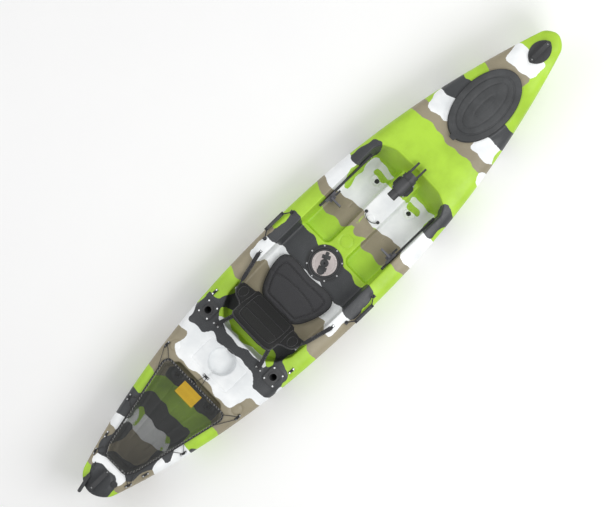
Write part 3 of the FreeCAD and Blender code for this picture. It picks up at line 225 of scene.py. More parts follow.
# The foot wells' aft edge, inner edge and corner radius.
FEET = (92.0, 67.0, 40.0)
SCUPPER_FRONT, SCUPPER_REAR, SCUPPER_SIDE = 570.0, -1080.0, 135.0
SCUPPERS = [(x, side * SCUPPER_SIDE) for x in (SCUPPER_FRONT, SCUPPER_REAR) for side in (1, -1)]
SCUPPER_HOLE = 15.0
RAMP_FOOT, RAMP_SLOPE = 682.0, 2.4
HATCH_AT, HATCH_SIZE = 1317.0, (523.0, 320.0)
HATCH_MOUTH = (439.0, 236.0)
ROUND_AT = (5.0, 0.0)
ROD_TUBE_AT, ROD_TUBE_SIDE = -671.0, 275.0
HOLES = [(ROUND_AT, 86.0)] + [((ROD_TUBE_AT, side * ROD_TUBE_SIDE), 33.0) for side in (1, -1)]
DRAIN = ((-1780.0, -78.0), 17.0)
# Moulded marks: a ring and a button on the cockpit floor, a dish behind the seat, and a
# ring on each side further aft.
FLOOR_RING_AT, FLOOR_RING_RADIUS = 187.0, 40.0
FLOOR_BUTTON_AT = 385.0
DISH_AT, DISH_RADIUS = -828.0, 88.0
REAR_RING_AT, REAR_RING_SIDE, REAR_RING_RADIUS = -962.0, 262.0, 33.0


def sink(z, deep, wall, floor):
    """Cuts one tub into a surface: rounded lip, drafted wall and rounded foot."""
    _, mouth, slope, lip, foot = wall
    lip_at = (mouth - (z - lip)) / slope - deep
    rim = z - lip + np.sqrt(np.maximum(lip**2 - (lip - np.clip(lip_at, 0, lip)) ** 2, 0))
    foot_at = (mouth - floor - foot) / slope
    along = np.clip(deep - foot_at, 0, foot)
    base = floor + foot - np.sqrt(np.maximum(foot**2 - (foot - along) ** 2, 0))
    inside = np.where(deep < foot_at, mouth - slope * deep, base)
    return np.where(lip_at >= 0, rim, inside)


def bump(distance, width):
    """A smooth ridge: 1 at no distance, fading over a width."""
    return np.exp(-((distance / width) ** 2))


def soft_max(a, b, k):
    """The higher of two surfaces, with their join rounded over k."""
    h = np.maximum(k - np.abs(a - b), 0) / k
    return np.maximum(a, b) + h * h * k / 4


def soft_min(a, b, k):
    """The lower of two surfaces, with their join rounded over k."""
    return -soft_max(-a, -b, k)


def cockpit_floor(x, y):
    """Seat floor, the two foot wells and the ridge that rises between them."""
    side = np.abs(y)
    top = 140 + 60 * ease((x - 300) / 245) * (side < 150)
    top = top - 3.6 * bump(np.hypot(x - FLOOR_RING_AT, y) - FLOOR_RING_RADIUS, 3.4)
    top = top + 5 * ease((25 - np.hypot(x - FLOOR_BUTTON_AT, y)) / 4)
    x0, y0, corner = FEET
    u, v = corner - (x - x0), corner - (side - y0)
    out = np.hypot(np.maximum(u, 0), np.maximum(v, 0)) + np.minimum(np.maximum(u, v), 0)
    deep = corner - out
    well = 95 - 2.5 * bump(side - 141, 2.4) * ease((x - 338) / 8) * ease((386 - x) / 8)
    round_hole = np.hypot(x - SCUPPER_FRONT, side - SCUPPER_SIDE)
    well = well + 5 * bump(round_hole - 36, 7) - 3 * ease((30 - round_hole) / 6)
    well = well + 9 * ease((x - 606) / 14) * ease((side - 88) / 12) * ease((206 - side) / 16)
    return sink(top, deep + 0.01, (None, top, 6.4, 9.0, 16.0), well)


def groove_spread(x):
    """How far the two outer tankwell grooves lie from the centre line."""
    return 62 + (x + 1480) * 0.12


def tank_floor(x, y):
    """Tankwell floor, with its three grooves and two scuppers."""
    side = np.abs(y)
    z = 160 + 0 * x
    z = z - 6 * bump(y, 4.5) * ease((-1050 - x) / 20) * ease((x + 1640) / 20)
    z = z - 6 * bump(side - groove_spread(x), 5) * ease((-1120 - x) / 20) * ease((x + 1560) / 30)
    round_hole = np.hypot(x - SCUPPER_REAR, side - SCUPPER_SIDE)
    return z + 5 * bump(round_hole - 36, 7) - 3 * ease((30 - round_hole) / 6)


def plate_height(x, y, spot):
    """The flat land under a fitting, falling away outside its footprint."""
    (px, py, pz), (nx, ny, nz), radius, fall = spot
    level = pz - (nx * (x - px) + ny * (y - py)) / nz
    return level - fall * np.maximum(np.hypot(x - px, y - py) - radius, 0)


PADEYES = [
    (-1725.4, 139.9, 335.7), (-1365.2, 229.7, 311.5), (-990.2, 298.7, 292.7),
    (-705.0, 179.1, 310.7), (-230.0, 305.6, 297.7), (-575.0, 323.1, 291.8),
    (-1610.2, 164.5, 331.6),
]
# The flat land under each fitting: place, normal, radius and how fast it falls away.
LANDS = (
    [((x, side * y, z), (0, 0, 1), 20.0, 0.9) for x, y, z in PADEYES for side in (1, -1)]
    + [((-957.9, 0.0, 318.8), (0, 0, 1), 20.0, 0.9)]
    + [((1764.8, 0.0, 389.3), (-0.065, 0, 0.998), 60.0, 0.35)]
    + [((-1821.8, 0.0, 360.4), (0.068, 0, 0.998), 66.0, 0.4)]
    + [((ROD_TUBE_AT, side * ROD_TUBE_SIDE, 303.0), (0, 0, 1), 52.0, 0.7) for side in (1, -1)]
    + [((-35 + end * 110.0, side * 343.0, 286.5), (0, side * 0.4, 0.91), 16.0, 0.9)
       for side in (1, -1) for end in (1, -1)]
)
# Share of the half beam over which all of it fades into the plain deck's edge.
EDGE_FADE = 0.05


def deck_surface(x, y):
    """Height of the moulded deck, with every tub, land, groove and ring in it."""
    plain = z = deck_height(x, y)
    side = np.abs(y)
    level = FOREDECK_LEVEL + FOREDECK_SLOPE * (x - HATCH_AT)
    length, width = HATCH_SIZE
    out = np.hypot((x - HATCH_AT) / (length / 2 + 14), y / (width / 2 + 10)) - 1
    z = soft_max(z, level - 150 * np.maximum(out, 0), 8)
    for spot in LANDS:
        z = soft_max(z, plate_height(x, y, spot), 2)
    frame_line = np.minimum(np.abs(inside_distance(PANEL[0], x, y)), 60)
    z = z - 3.4 * bump(frame_line, 3.6)
    for out in (REAR_RING_SIDE, -REAR_RING_SIDE):
        z = z - 3.4 * bump(np.hypot(x - REAR_RING_AT, y - out) - REAR_RING_RADIUS, 3.4)
    dish = DISH_RADIUS - np.hypot(x - DISH_AT, y)
    z = sink(z, dish, (None, z + 30, 8.0, 7.0, 14.0), z - 50)
    drain = soft_max(14 - side, -40 + 0 * side, 4)
    z = z - 16 * ease(drain / 12) * ease((x + 966) / 46) * (x < -905)
    tank = inside_distance(TANK[0], x, y)
    z = np.where(tank > -60, sink(z, tank, WALLS["tank"], tank_floor(x, y)), z)
    deep = inside_distance(COCKPIT[0], x, y)
    floor = cockpit_floor(x, y)
    tub = sink(z, deep, WALLS["cockpit"], floor)
    ramp = soft_max(tub, 100 + (x - RAMP_FOOT) * RAMP_SLOPE, 26)
    inner = soft_min(ramp, z, 14)
    z = np.where((deep > 0.5) & (x > 640), inner, np.where(deep > -60, tub, z))
    return plain + (z - plain) * ease((1 - across(x, y)) / EDGE_FADE)


def offset_lines(shape, distances):
    """The outline moved inwards by each distance."""
    points, normals = shape
    return [points - normals * np.reshape(d, (-1, 1)) for d in distances]


def tub_lines(shape, wall, floor_of, rim_of):
    """Closed lines that follow a tub's lip, wall and foot, however high each is there."""
    points, normals = shape
    _, mouth, slope, lip, foot = wall
    deep = np.full(len(points), 2.0)
    for _ in range(3):
        at = points - normals * deep[:, None]
        deep = (mouth - (rim_of(at[:, 0], at[:, 1]) - lip)) / slope
    lines = [deep - lip * s for s in (1.6, 1, 0.72, 0.45, 0.22, 0.07, 0)]
    at = points - normals * (deep[:, None] + 16)
    floor = floor_of(at[:, 0], at[:, 1])
    low = (mouth - floor - foot) / slope
    lines += [deep + (low - deep) * s for s in (0.03, 0.35, 0.7, 1)]
    lines += [low + foot * s for s in (0.07, 0.22, 0.45, 0.72, 1, 1.5)]
    return offset_lines(shape, lines)


def stations():
    """Places along the boat where its cross-section is drawn, closer at the ends."""
    middle = np.linspace(-1800, 1800, 217)
    last = HALF - 115 + 114.75 * np.sin(np.linspace(0, math.pi / 2, 17)[1:])
    return np.concatenate([-last[::-1], middle, last])


# Shares of the half beam where both skins have a line along the boat.
SKIN_LINES = (1, 0.9985, 0.995, 0.985, 0.965, 0.94, 0.91, 0.875)


class Drawing:
    """Points and lines seen from above, which one triangulation joins up."""

    def __init__(self):
        self.points, self.edges = [], []

    def line(self, points, closed=True):
        first = len(self.points)
        self.points += [tuple(p) for p in points]
        count = len(points)
        self.edges += [(first + i, first + i + 1) for i in range(count - 1)]
        if closed:
            self.edges.append((first + count - 1, first))

    def joined(self):
        """Vertices and triangles inside the outermost line, in millimetres."""
        flat = [Vector((x * MM, y * MM)) for x, y in self.points]
        found = geometry.delaunay_2d_cdt(flat, self.edges, [], 0, 1e-7)
        places = np.array([tuple(v) for v in found[0]]) / MM
        return places, np.array([f for f in found[2] if len(f) == 3])


def seen_from_above(bottom):
    """The drawing of one skin: the deck or the bottom."""
    drawing = Drawing()
    x = stations()
    beam = half_beam(x)
    for v in SKIN_LINES:
        rim = np.concatenate(
            [np.stack([x, -v * beam], 1), np.stack([x, v * beam], 1)[::-1]]
        )
        drawing.line(rim, closed=v == 1)
    inner = (0.8, 0.7, 0.6, 0.5, 0.4, 0.3, 0.2, 0.1, 0)
    if bottom:
        inner = (0.8, 0.7, 0.58, 0.45, 0.3, 0.22, 0.12, 0)
    for v in inner:
        for sign in (1, -1) if v else (1,):
            drawing.points += list(zip(x[4:-4], sign * v * beam[4:-4]))
    for place in SCUPPERS:
        sizes = (15, 17, 20) if bottom else (15, 17, 20, 24, 28, 31, 36, 41, 46)
        for radius in sizes:
            drawing.line(ring(place, radius))
    if bottom:
        return drawing
    for radius in (80, 86, 100, 112, 124):
        drawing.line(ring(ROUND_AT, radius, 64))
    for side in (1, -1):
        for radius in (33, 38, 48, 60, 68):
            drawing.line(ring((ROD_TUBE_AT, side * ROD_TUBE_SIDE), radius, 40))
    for radius in (17, 21, 27):
        drawing.line(ring(DRAIN[0], radius))
    length, width = HATCH_SIZE
    drawing.line(oval((HATCH_AT, 0), *HATCH_MOUTH))
    for grow in (-60, -8, 12, 28, 36, 46, 58, 76, 100):
        drawing.line(oval((HATCH_AT, 0), length + grow, width + grow * 0.8))
    for radius in (36, 38, 40, 42, 44):
        drawing.line(ring((FLOOR_RING_AT, 0), radius, 48))
    for radius in (20, 22, 24, 26):
        drawing.line(ring((FLOOR_BUTTON_AT, 0), radius, 32))
    for radius in (68, 74, 79, 82, 84, 85.5, 88.3, 90, 93, 98):
        drawing.line(ring((DISH_AT, 0), radius, 72))
    for side in (1, -1):
        for radius in (29, 31.5, 33, 34.5, 37):
            drawing.line(ring((REAR_RING_AT, side * REAR_RING_SIDE), radius, 36))
    for line in offset_lines(PANEL, (-6, -3, -1.3, 0, 1.3, 3, 6)):
        drawing.line(line)
    for line in tub_lines(COCKPIT, WALLS["cockpit"], cockpit_floor, deck_height):
        drawing.line(line)
    for line in tub_lines(TANK, WALLS["tank"], tank_floor, deck_height):
        drawing.line(line)
    for (px, py, _), _, radius, _ in LANDS:
        for grow in (0, 5, 12):
            drawing.line(ring((px, py), radius + grow, 28))
    feet(drawing)
    grid = np.stack(np.meshgrid(np.arange(-640, 760, 16), np.arange(-250, 251, 14)), 2)
    drawing.points += [tuple(p) for p in grid.reshape(-1, 2)]
    for y in (-3.5, 0, 3.5):
        drawing.line([(x, y) for x in np.arange(-1640, -1050, 14)], closed=False)
    for side in (1, -1):
        for shift in (-4.5, 0, 4.5):
            run = np.arange(-1570, -1110, 12)
            spread = side * (groove_spread(run) + shift)
            drawing.line(np.stack([run, spread], 1), closed=False)
        for shift in (-4, -2, 0, 2, 4):
            run = np.arange(334, 392, 5)
            drawing.line(np.stack([run, 0 * run + side * (141 + shift)], 1), closed=False)
    return drawing


def feet(drawing):
    """Lines round the two foot wells, at their lip, wall and foot."""
    x0, y0, corner = FEET
    angle = np.linspace(math.pi, 1.5 * math.pi, 9)
    for side in (1, -1):
        for deep in (-16, -9, -5, -2, -0.5, 0.6, 1.4, 3, 4.6, 5.4, 7, 10, 14, 19, 27):
            r = corner - deep
            arc = np.stack([x0 + corner + r * np.cos(angle), y0 + corner + r * np.sin(angle)], 1)
            down = [(x0 + deep, y) for y in np.arange(248, y0 + corner + 2, -10)]
            ahead = [(x, y0 + deep) for x in np.arange(x0 + corner + 10, 742, 10)]
            run = np.array(down + [tuple(p) for p in arc] + ahead)
            run[:, 1] *= side
            drawing.line(run, closed=False)
    for x in (RAMP_FOOT - 8, RAMP_FOOT - 3, RAMP_FOOT + 2, RAMP_FOOT + 7, RAMP_FOOT + 13,
              RAMP_FOOT + 20, 764, 769, 772, 775, 779, 784):
        drawing.line([(x, y) for y in np.arange(-238, 239, 14)], closed=False)


# ---------------------------------------------------------------- camouflage
# Each patch: colour, from and to along the boat, nearest and farthest from the
# centre line, and the side (0 both, 1 port, -1 starboard). Later ones lie on top.
LIME, TAN, WHITE, BLACK = range(4)
PATCHES = [
    (LIME, -1960, -1700, 0, 400, 0), (TAN, -1790, -1490, 0, 400, 0),
    (WHITE, -1772, -1680, 0, 118, 0), (BLACK, -1925, -1755, 0, 88, 0),
    (WHITE, -1560, -1395, 120, 225, 0), (BLACK, -1480, -1250, 150, 400, 1),
    (BLACK, -1480, -1340, 140, 200, -1), (WHITE, -1420, -1330, 190, 400, -1),
    (BLACK, -1330, -1215, 235, 400, -1), (LIME, -1300, -1120, 175, 400, 0),
    (TAN, -1150, -830, 0, 400, 0), (BLACK, -1700, -1480, 0, 150, 0),
    (TAN, -1660, -1480, 0, 96, 0), (WHITE, -1485, -1370, 0, 96, 0),
    (BLACK, -1372, -1250, 0, 175, 0), (LIME, -1252, -1130, 0, 205, 0),
    (BLACK, -1132, -1040, 0, 200, 0), (TAN, -1030, -900, 0, 190, 0),
    (WHITE, -985, -745, 0, 255, 0), (WHITE, -860, -690, 200, 420, 0),
    (BLACK, -745, -655, 0, 260, 0), (BLACK, -800, -560, 200, 342, 0),
    (LIME, -575, -405, 250, 420, 0), (TAN, -420, -250, 262, 420, 0),
    (WHITE, -682, -640, 0, 200, 0), (LIME, -648, -560, 0, 225, 0),
    (BLACK, -590, -400, 0, 250, 0), (TAN, -410, -225, 0, 258, 0),
    (WHITE, -232, -98, 0, 258, 0), (WHITE, -285, -60, 268, 355, 0),
    (BLACK, -100, 78, 0, 262, 0), (TAN, -260, -60, 352, 400, 0),
    (LIME, 74, 232, 0, 262, 0), (LIME, 50, 300, 266, 400, 0),
    (BLACK, -132, 112, 266, 345, 0), (LIME, 74, 292, 0, 66, 0),
    (TAN, 228, 392, 60, 262, 0), (TAN, 265, 405, 0, 40, 0),
    (WHITE, 372, 600, 0, 64, 0), (TAN, 290, 400, 262, 400, 0),
    (WHITE, 386, 684, 66, 262, 0), (WHITE, 350, 560, 262, 400, 0),
    (LIME, 560, 1022, 262, 400, 0), (LIME, 600, 1022, 0, 66, 0),
    (LIME, 684, 1022, 0, 300, 0), (LIME, 420, 560, 228, 262, 1),
    (LIME, 596, 636, 92, 190, 0), (BLACK, 535, 735, 262, 338, 0),
    (BLACK, 690, 762, 228, 300, -1), (TAN, 1018, 1110, 0, 400, 0),
    (WHITE, 980, 1060, 262, 400, -1), (TAN, 1090, 1620, 0, 170, 0),
    (WHITE, 1080, 1240, 96, 252, 0), (BLACK, 1225, 1385, 120, 400, 1),
    (BLACK, 1200, 1345, 120, 400, -1), (LIME, 1372, 1505, 110, 400, 1),
    (LIME, 1335, 1560, 78, 400, -1), (TAN, 1495, 1625, 0, 400, 1),
    (WHITE, 1608, 1765, 0, 125, 0), (LIME, 1735, 1960, 0, 400, 0),
    (LIME, 1560, 1960, 92, 400, -1), (TAN, 1600, 1700, 125, 400, 1),
]
FADE = 56.0


def patch_shares(x, y, sideways):
    """How much of each colour lies at a place, as four smooth shares."""
    wobble = 11.0
    px = x + wobble * np.sin(y * 0.021 + x * 0.008) + 5 * np.sin(y * 0.06 + 1.7)
    py = y + wobble * np.sin(x * 0.017 + 2.1) + 5 * np.sin(x * 0.047)
    px = px + sideways * 46 * np.sin(sideways * 5.0 + x * 0.011)
    shares = np.zeros((len(x), 4))
    shares[:, LIME] = 1
    for colour, start, stop, near, far, side in PATCHES:
        reach = np.abs(py) if side == 0 else py * side
        low = -500 if near == 0 and side == 0 else near
        middle_x, half_x = (start + stop) / 2, (stop - start) / 2
        middle_y, half_y = (low + far) / 2, (far - low) / 2
        corner = min(34.0, half_x * 0.8, half_y * 0.8)
        qx = np.abs(px - middle_x) - half_x + corner
        qy = np.abs(reach - middle_y) - half_y + corner
        out = np.hypot(np.maximum(qx, 0), np.maximum(qy, 0)) + np.minimum(np.maximum(qx, qy), 0)
        share = np.clip(0.5 - (out - corner) / FADE, 0, 1)[:, None]
        shares *= 1 - share
        shares[:, colour] += share[:, 0]
    return shares


# ---------------------------------------------------------------- mesh making


def linked(name, data):
    """A new object in the scene for a mesh or a curve."""
    piece = bpy.data.objects.new(name, data)
    bpy.context.scene.collection.objects.link(piece)
    return piece


def from_bmesh(name, bm):
    """A new object from a finished bmesh, which is then freed."""
    mesh = bpy.data.meshes.new(name)
    bm.to_mesh(mesh)
    bm.free()
    return linked(name, mesh)


def smooth_faces(mesh):
    """Shades every face smooth."""
    for face in mesh.polygons:
        face.use_smooth = True


def new_object(name, vertices, faces, smooth=True):
    """A new object from vertices and faces."""
    mesh = bpy.data.meshes.new(name)
    mesh.from_pydata([tuple(v) for v in vertices], [], [tuple(f) for f in faces])
    mesh.update()
    mesh.polygons.foreach_set("use_smooth", [smooth] * len(mesh.polygons))
    return linked(name, mesh)


def skin(bottom):
    """Vertices in metres and triangles of one skin, holes left open."""
    flat, faces = seen_from_above(bottom).joined()
    centre = flat[faces].mean(1)
    inside = np.abs(centre[:, 1]) <= half_beam(centre[:, 0]) + 0.5
    for hole in SCUPPERS:
        inside &= np.hypot(*(centre - hole).T) > SCUPPER_HOLE - 0.3
    if not bottom:
        for place, radius in HOLES + [DRAIN]:
            inside &= np.hypot(*(centre - place).T) > radius - 0.5
        length, width = HATCH_MOUTH
        reach = np.hypot((centre[:, 0] - HATCH_AT) / length, centre[:, 1] / width)
        inside &= reach > 0.4995
    faces = faces[inside]
    x, y = flat.T
    height = bottom_height(x, y) if bottom else deck_surface(x, y)
    if bottom:
        faces = faces[:, ::-1]
        shown = np.sign(y) * np.maximum(half_beam(x) - 24, 0)
        blend = ease((np.abs(y) / np.maximum(half_beam(x), 1) - 0.05) / 0.3)
        shares = patch_shares(x, y * (1 - blend) + shown * blend, 1 - across(x, y))
    else:
        shares = patch_shares(x, y, 0 * x)
    return np.stack([x, y, height], 1) * MM, faces, shares


def plan_distance(vertex, place):
    """Distance from a mesh vertex to a place, seen from above, in millimetres."""
    return math.hypot(vertex.co.x / MM - place[0], vertex.co.y / MM - place[1])


def build_hull_shell(wall):
    """Deck and bottom as one skin, given its wall thickness."""
    parts = [skin(False), skin(True)]
    count = len(parts[0][0])
    vertices = np.concatenate([p[0] for p in parts])
    faces = np.concatenate([parts[0][1], parts[1][1] + count])
    shares = np.concatenate([p[2] for p in parts])
    piece = new_object("hull_shell", vertices, faces)
    colours = piece.data.color_attributes.new("patches", "FLOAT_COLOR", "POINT")
    colours.data.foreach_set("color", shares.astype(np.float32).ravel())
    bm = bmesh.new()
    bm.from_mesh(piece.data)
    bmesh.ops.remove_doubles(bm, verts=bm.verts, dist=0.00012)
    loose = [v for v in bm.verts if not v.link_faces]
    bmesh.ops.delete(bm, geom=loose, context="VERTS")
    tips = [e for e in bm.edges if e.is_boundary and abs(e.verts[0].co.x) > (HALF - 0.5) * MM]
    bmesh.ops.holes_fill(bm, edges=tips, sides=0)
    for place in SCUPPERS:
        near = [
            e for e in bm.edges
            if e.is_boundary
            and all(abs(plan_distance(v, place) - SCUPPER_HOLE) < 1 for v in e.verts)
        ]
        bmesh.ops.bridge_loops(bm, edges=near)
    bmesh.ops.triangulate(bm, faces=[f for f in bm.faces if len(f.verts) > 4])
    bmesh.ops.recalc_face_normals(bm, faces=bm.faces)
    bm.to_mesh(piece.data)
    bm.free()
    smooth_faces(piece.data)
    thick = piece.modifiers.new("wall", "SOLIDIFY")
    thick.thickness = wall
    thick.offset = -1
    return piece


# ---------------------------------------------------------------- materials


class Surface:
    """A small helper that wires one principled material."""

    def __init__(self, name, colour, roughness):
        self.material = bpy.data.materials.new(name)
        self.material.use_nodes = True
        self.nodes = self.material.node_tree.nodes
        self.links = self.material.node_tree.links
        self.shader = self.nodes["Principled BSDF"]
        self.shader.inputs["Base Color"].default_value = (*colour, 1)
        self.shader.inputs["Roughness"].default_value = roughness
        self.place = self.nodes.new("ShaderNodeTexCoord").outputs["Object"]
        self.height = None

    def join(self, start, end):
        self.links.new(start, end)

    def add(self, kind, inputs, **settings):
        made = self.nodes.new("ShaderNode" + kind)
        for key, value in settings.items():
            setattr(made, key, value)
        for key, value in inputs.items():
            if hasattr(value, "is_output"):
                self.join(value, made.inputs[key])
            else:
                made.inputs[key].default_value = value
        return made.outputs

    def math(self, operation, a, b=0.0):
        return self.add("Math", {0: a, 1: b}, operation=operation)[0]

    def noise(self, scale, detail=3.0, roughness=0.55, place=None):
        inputs = {"Vector": place or self.place, "Scale": scale, "Detail": detail,
                  "Roughness": roughness}
        return self.add("TexNoise", inputs)["Fac"]

    def between(self, value, low, high, out_low, out_high):
        return self.add(
            "MapRange",
            {0: value, 1: low, 2: high, 3: out_low, 4: out_high},
            interpolation_type="SMOOTHSTEP",
        )[0]

    def mix(self, share, a, b):
        made = self.nodes.new("ShaderNodeMix")
        made.data_type = "RGBA"
        made.clamp_factor = True
        for key, value in ((0, share), (6, a), (7, b)):
            if hasattr(value, "is_output"):
                self.join(value, made.inputs[key])
            else:
                made.inputs[key].default_value = value if key == 0 else (*value[:3], 1)
        return made.outputs[2]

    def colour(self, value):
        self.join(value, self.shader.inputs["Base Color"])

    def rough(self, value):
        self.join(value, self.shader.inputs["Roughness"])

    def bump(self, height, strength, distance):
        made = self.nodes.new("ShaderNodeBump")
        made.inputs["Strength"].default_value = strength
        made.inputs["Distance"].default_value = distance
        self.join(height, made.inputs["Height"])
        if self.height:
            self.join(self.height, made.inputs["Normal"])
        self.height = made.outputs[0]
        self.join(self.height, self.shader.inputs["Normal"])


# The camouflage's four colours, as they are unless the user changes them.
SHADES = {
    LIME: (0.395, 0.640, 0.036), TAN: (0.300, 0.262, 0.178),
    WHITE: (0.890, 0.920, 0.935), BLACK: (0.044, 0.047, 0.051),
}


def camouflage_plastic(shades):
    """Moulded polyethylene whose four colours meet in soft, slightly ragged edges."""
    s = Surface("camouflage_plastic", shades[LIME], 0.42)
    shares = s.add("VertexColor", {}, layer_name="patches")
    parts = s.add("SeparateColor", {0: shares["Color"]})
    channels = [parts[0], parts[1], parts[2], shares["Alpha"]]
    ragged = []
    for i, channel in enumerate(channels):
        shift = s.add("VectorMath", {0: s.place, 1: (3.1 * i, 1.7 * i, 0.9 * i)}, operation="ADD")[0]
        wide = s.math("SUBTRACT", s.noise(14, 3, place=shift), 0.5)
        fine = s.math("SUBTRACT", s.noise(150, 2, 0.7, place=shift), 0.5)
        value = s.math("ADD", channel, s.math("MULTIPLY", wide, 0.42))
        ragged.append(s.math("ADD", value, s.math("MULTIPLY", fine, 0.16)))
    tone = s.noise(5.0, 4)
    colour, best = None, None
    for i, shade in shades.items():
        pale = [min(c * 1.10 + 0.006, 1) for c in shade]
        deep = [c * 0.88 for c in shade]
        mottled = s.mix(s.between(tone, 0.3, 0.7, 0, 1), deep, pale)
        if colour is None:
            colour, best = mottled, ragged[i]
            continue
        share = s.between(s.math("SUBTRACT", ragged[i], best), -0.02, 0.05, 0, 1)
        colour = s.mix(share, colour, mottled)
        best = s.math("MAXIMUM", best, ragged[i])
    speck = s.between(s.noise(900, 2, 0.8), 0.63, 0.72, 0, 0.16)
    colour = s.mix(speck, colour, (0.85, 0.88, 0.86))
    scuff = s.between(s.noise(34, 6, 0.75), 0.6, 0.82, 0, 0.12)
    colour = s.mix(scuff, colour, (0.55, 0.55, 0.52))
    s.colour(colour)
    s.rough(s.between(s.noise(60, 4), 0.2, 0.8, 0.36, 0.52))
    s.shader.inputs["Specular IOR Level"].default_value = 0.45
    s.bump(s.noise(7, 3), 0.25, 0.004)
    s.bump(s.noise(1300, 2, 0.6), 0.18, 0.0004)
    return s.material


def grained_plastic(name, colour, roughness=0.5, grain=1400.0, wear=0.12):
    """Moulded nylon or polypropylene with a fine grain and rubbed high spots."""
    s = Surface(name, colour, roughness)
    pale = [c * 1.35 + 0.012 for c in colour]
    mottled = s.mix(s.between(s.noise(9, 4), 0.3, 0.7, 0, 1), colour, pale)
    rubbed = s.between(s.noise(70, 6, 0.7), 0.58, 0.8, 0, wear)
    s.colour(s.mix(rubbed, mottled, [c * 0.8 + 0.16 for c in colour]))
    s.rough(s.between(s.noise(120, 3), 0.25, 0.75, roughness - 0.07, roughness + 0.1))
    s.bump(s.noise(grain, 2, 0.6), 0.35, 0.0003)
    s.bump(s.noise(26, 3), 0.15, 0.0008)
    return s.material


def rubber(name, colour):
    """Matt rubber or closed-cell foam."""
    s = Surface(name, colour, 0.68)
    pale = [c * 1.3 + 0.01 for c in colour]
    s.colour(s.mix(s.between(s.noise(30, 4), 0.3, 0.7, 0, 1), colour, pale))
    s.bump(s.noise(700, 2), 0.25, 0.0003)
    return s.material


def steel(name):
    """Stainless steel, brushed lengthwise."""
    s = Surface(name, (0.70, 0.71, 0.72), 0.27)
    s.shader.inputs["Metallic"].default_value = 1.0
    brushed = s.add("VectorMath", {0: s.place, 1: (60, 900, 900)}, operation="MULTIPLY")[0]
    streak = s.noise(1.0, 3, place=brushed)
    s.colour(s.mix(streak, (0.62, 0.63, 0.64), (0.80, 0.81, 0.82)))
    s.rough(s.between(streak, 0.2, 0.8, 0.2, 0.38))
    s.bump(streak, 0.1, 0.0002)
    return s.material


def woven(name, warp, weft, pitch, lift=0.0005, roughness=0.82, sheen=0.25):
    """Cloth of crossing yarns, the same from every side."""
    s = Surface(name, warp, roughness)
    parts = s.add("SeparateXYZ", {0: s.place})
    turn = 2 * math.pi / pitch
    waves = [s.math("SINE", s.math("MULTIPLY", parts[k], turn)) for k in range(3)]
    a = s.math("MULTIPLY", waves[0], waves[1])
    b = s.math("MULTIPLY", waves[1], waves[2])
    c = s.math("MULTIPLY", waves[2], waves[0])
    weave = s.math("ADD", s.math("ADD", a, b), c)
    share = s.between(weave, -1, 1, 0, 1)
    cloth = s.mix(share, warp, weft)
    faded = s.between(s.noise(12, 4), 0.35, 0.75, 0, 0.35)
    s.colour(s.mix(faded, cloth, [min(x * 1.5 + 0.002, 1) for x in warp]))
    s.shader.inputs["Sheen Weight"].default_value = sheen
    s.shader.inputs["Sheen Roughness"].default_value = 0.5
    s.bump(weave, 0.45, lift)
    s.bump(s.noise(240, 3), 0.3, 0.0006)
    return s.material


def braided_cord(name, colour, fleck):
    """Braided sheath with a pale fleck."""
    s = Surface(name, colour, 0.75)
    parts = s.add("SeparateXYZ", {0: s.place})
    total = s.math("ADD", s.math("ADD", parts[0], parts[1]), parts[2])
    other = s.math("SUBTRACT", s.math("ADD", parts[0], parts[2]), parts[1])
    braid = s.math(
        "MULTIPLY",
        s.math("SINE", s.math("MULTIPLY", total, 2 * math.pi / 0.0036)),
        s.math("SINE", s.math("MULTIPLY", other, 2 * math.pi / 0.0036)),
    )
    s.colour(s.mix(s.between(braid, 0.55, 0.9, 0, 1), colour, fleck))
    s.bump(braid, 0.5, 0.0006)
    return s.material


def net_cloth(name):
    """Black knotted net seen over what lies under it."""
    s = Surface(name, (0.035, 0.036, 0.036), 0.7)
    s.colour(s.mix(s.noise(300, 2), (0.02, 0.021, 0.021), (0.07, 0.072, 0.07)))
    parts = s.add("SeparateXYZ", {0: s.place})
    turn = 2 * math.pi / 0.0056
    one = s.math("SINE", s.math("MULTIPLY", s.math("ADD", parts[0], parts[1]), turn))
    two = s.math("SINE", s.math("MULTIPLY", s.math("SUBTRACT", parts[0], parts[1]), turn))
    hole = s.math("MULTIPLY", s.between(one, -0.8, -0.5, 0, 1), s.between(two, -0.8, -0.5, 0, 1))
    s.join(s.math("SUBTRACT", 1.0, hole), s.shader.inputs["Alpha"])
    s.bump(s.math("ADD", one, two), 0.4, 0.0006)
    s.material.surface_render_method = "DITHERED"
    return s.material


MATERIALS = {}


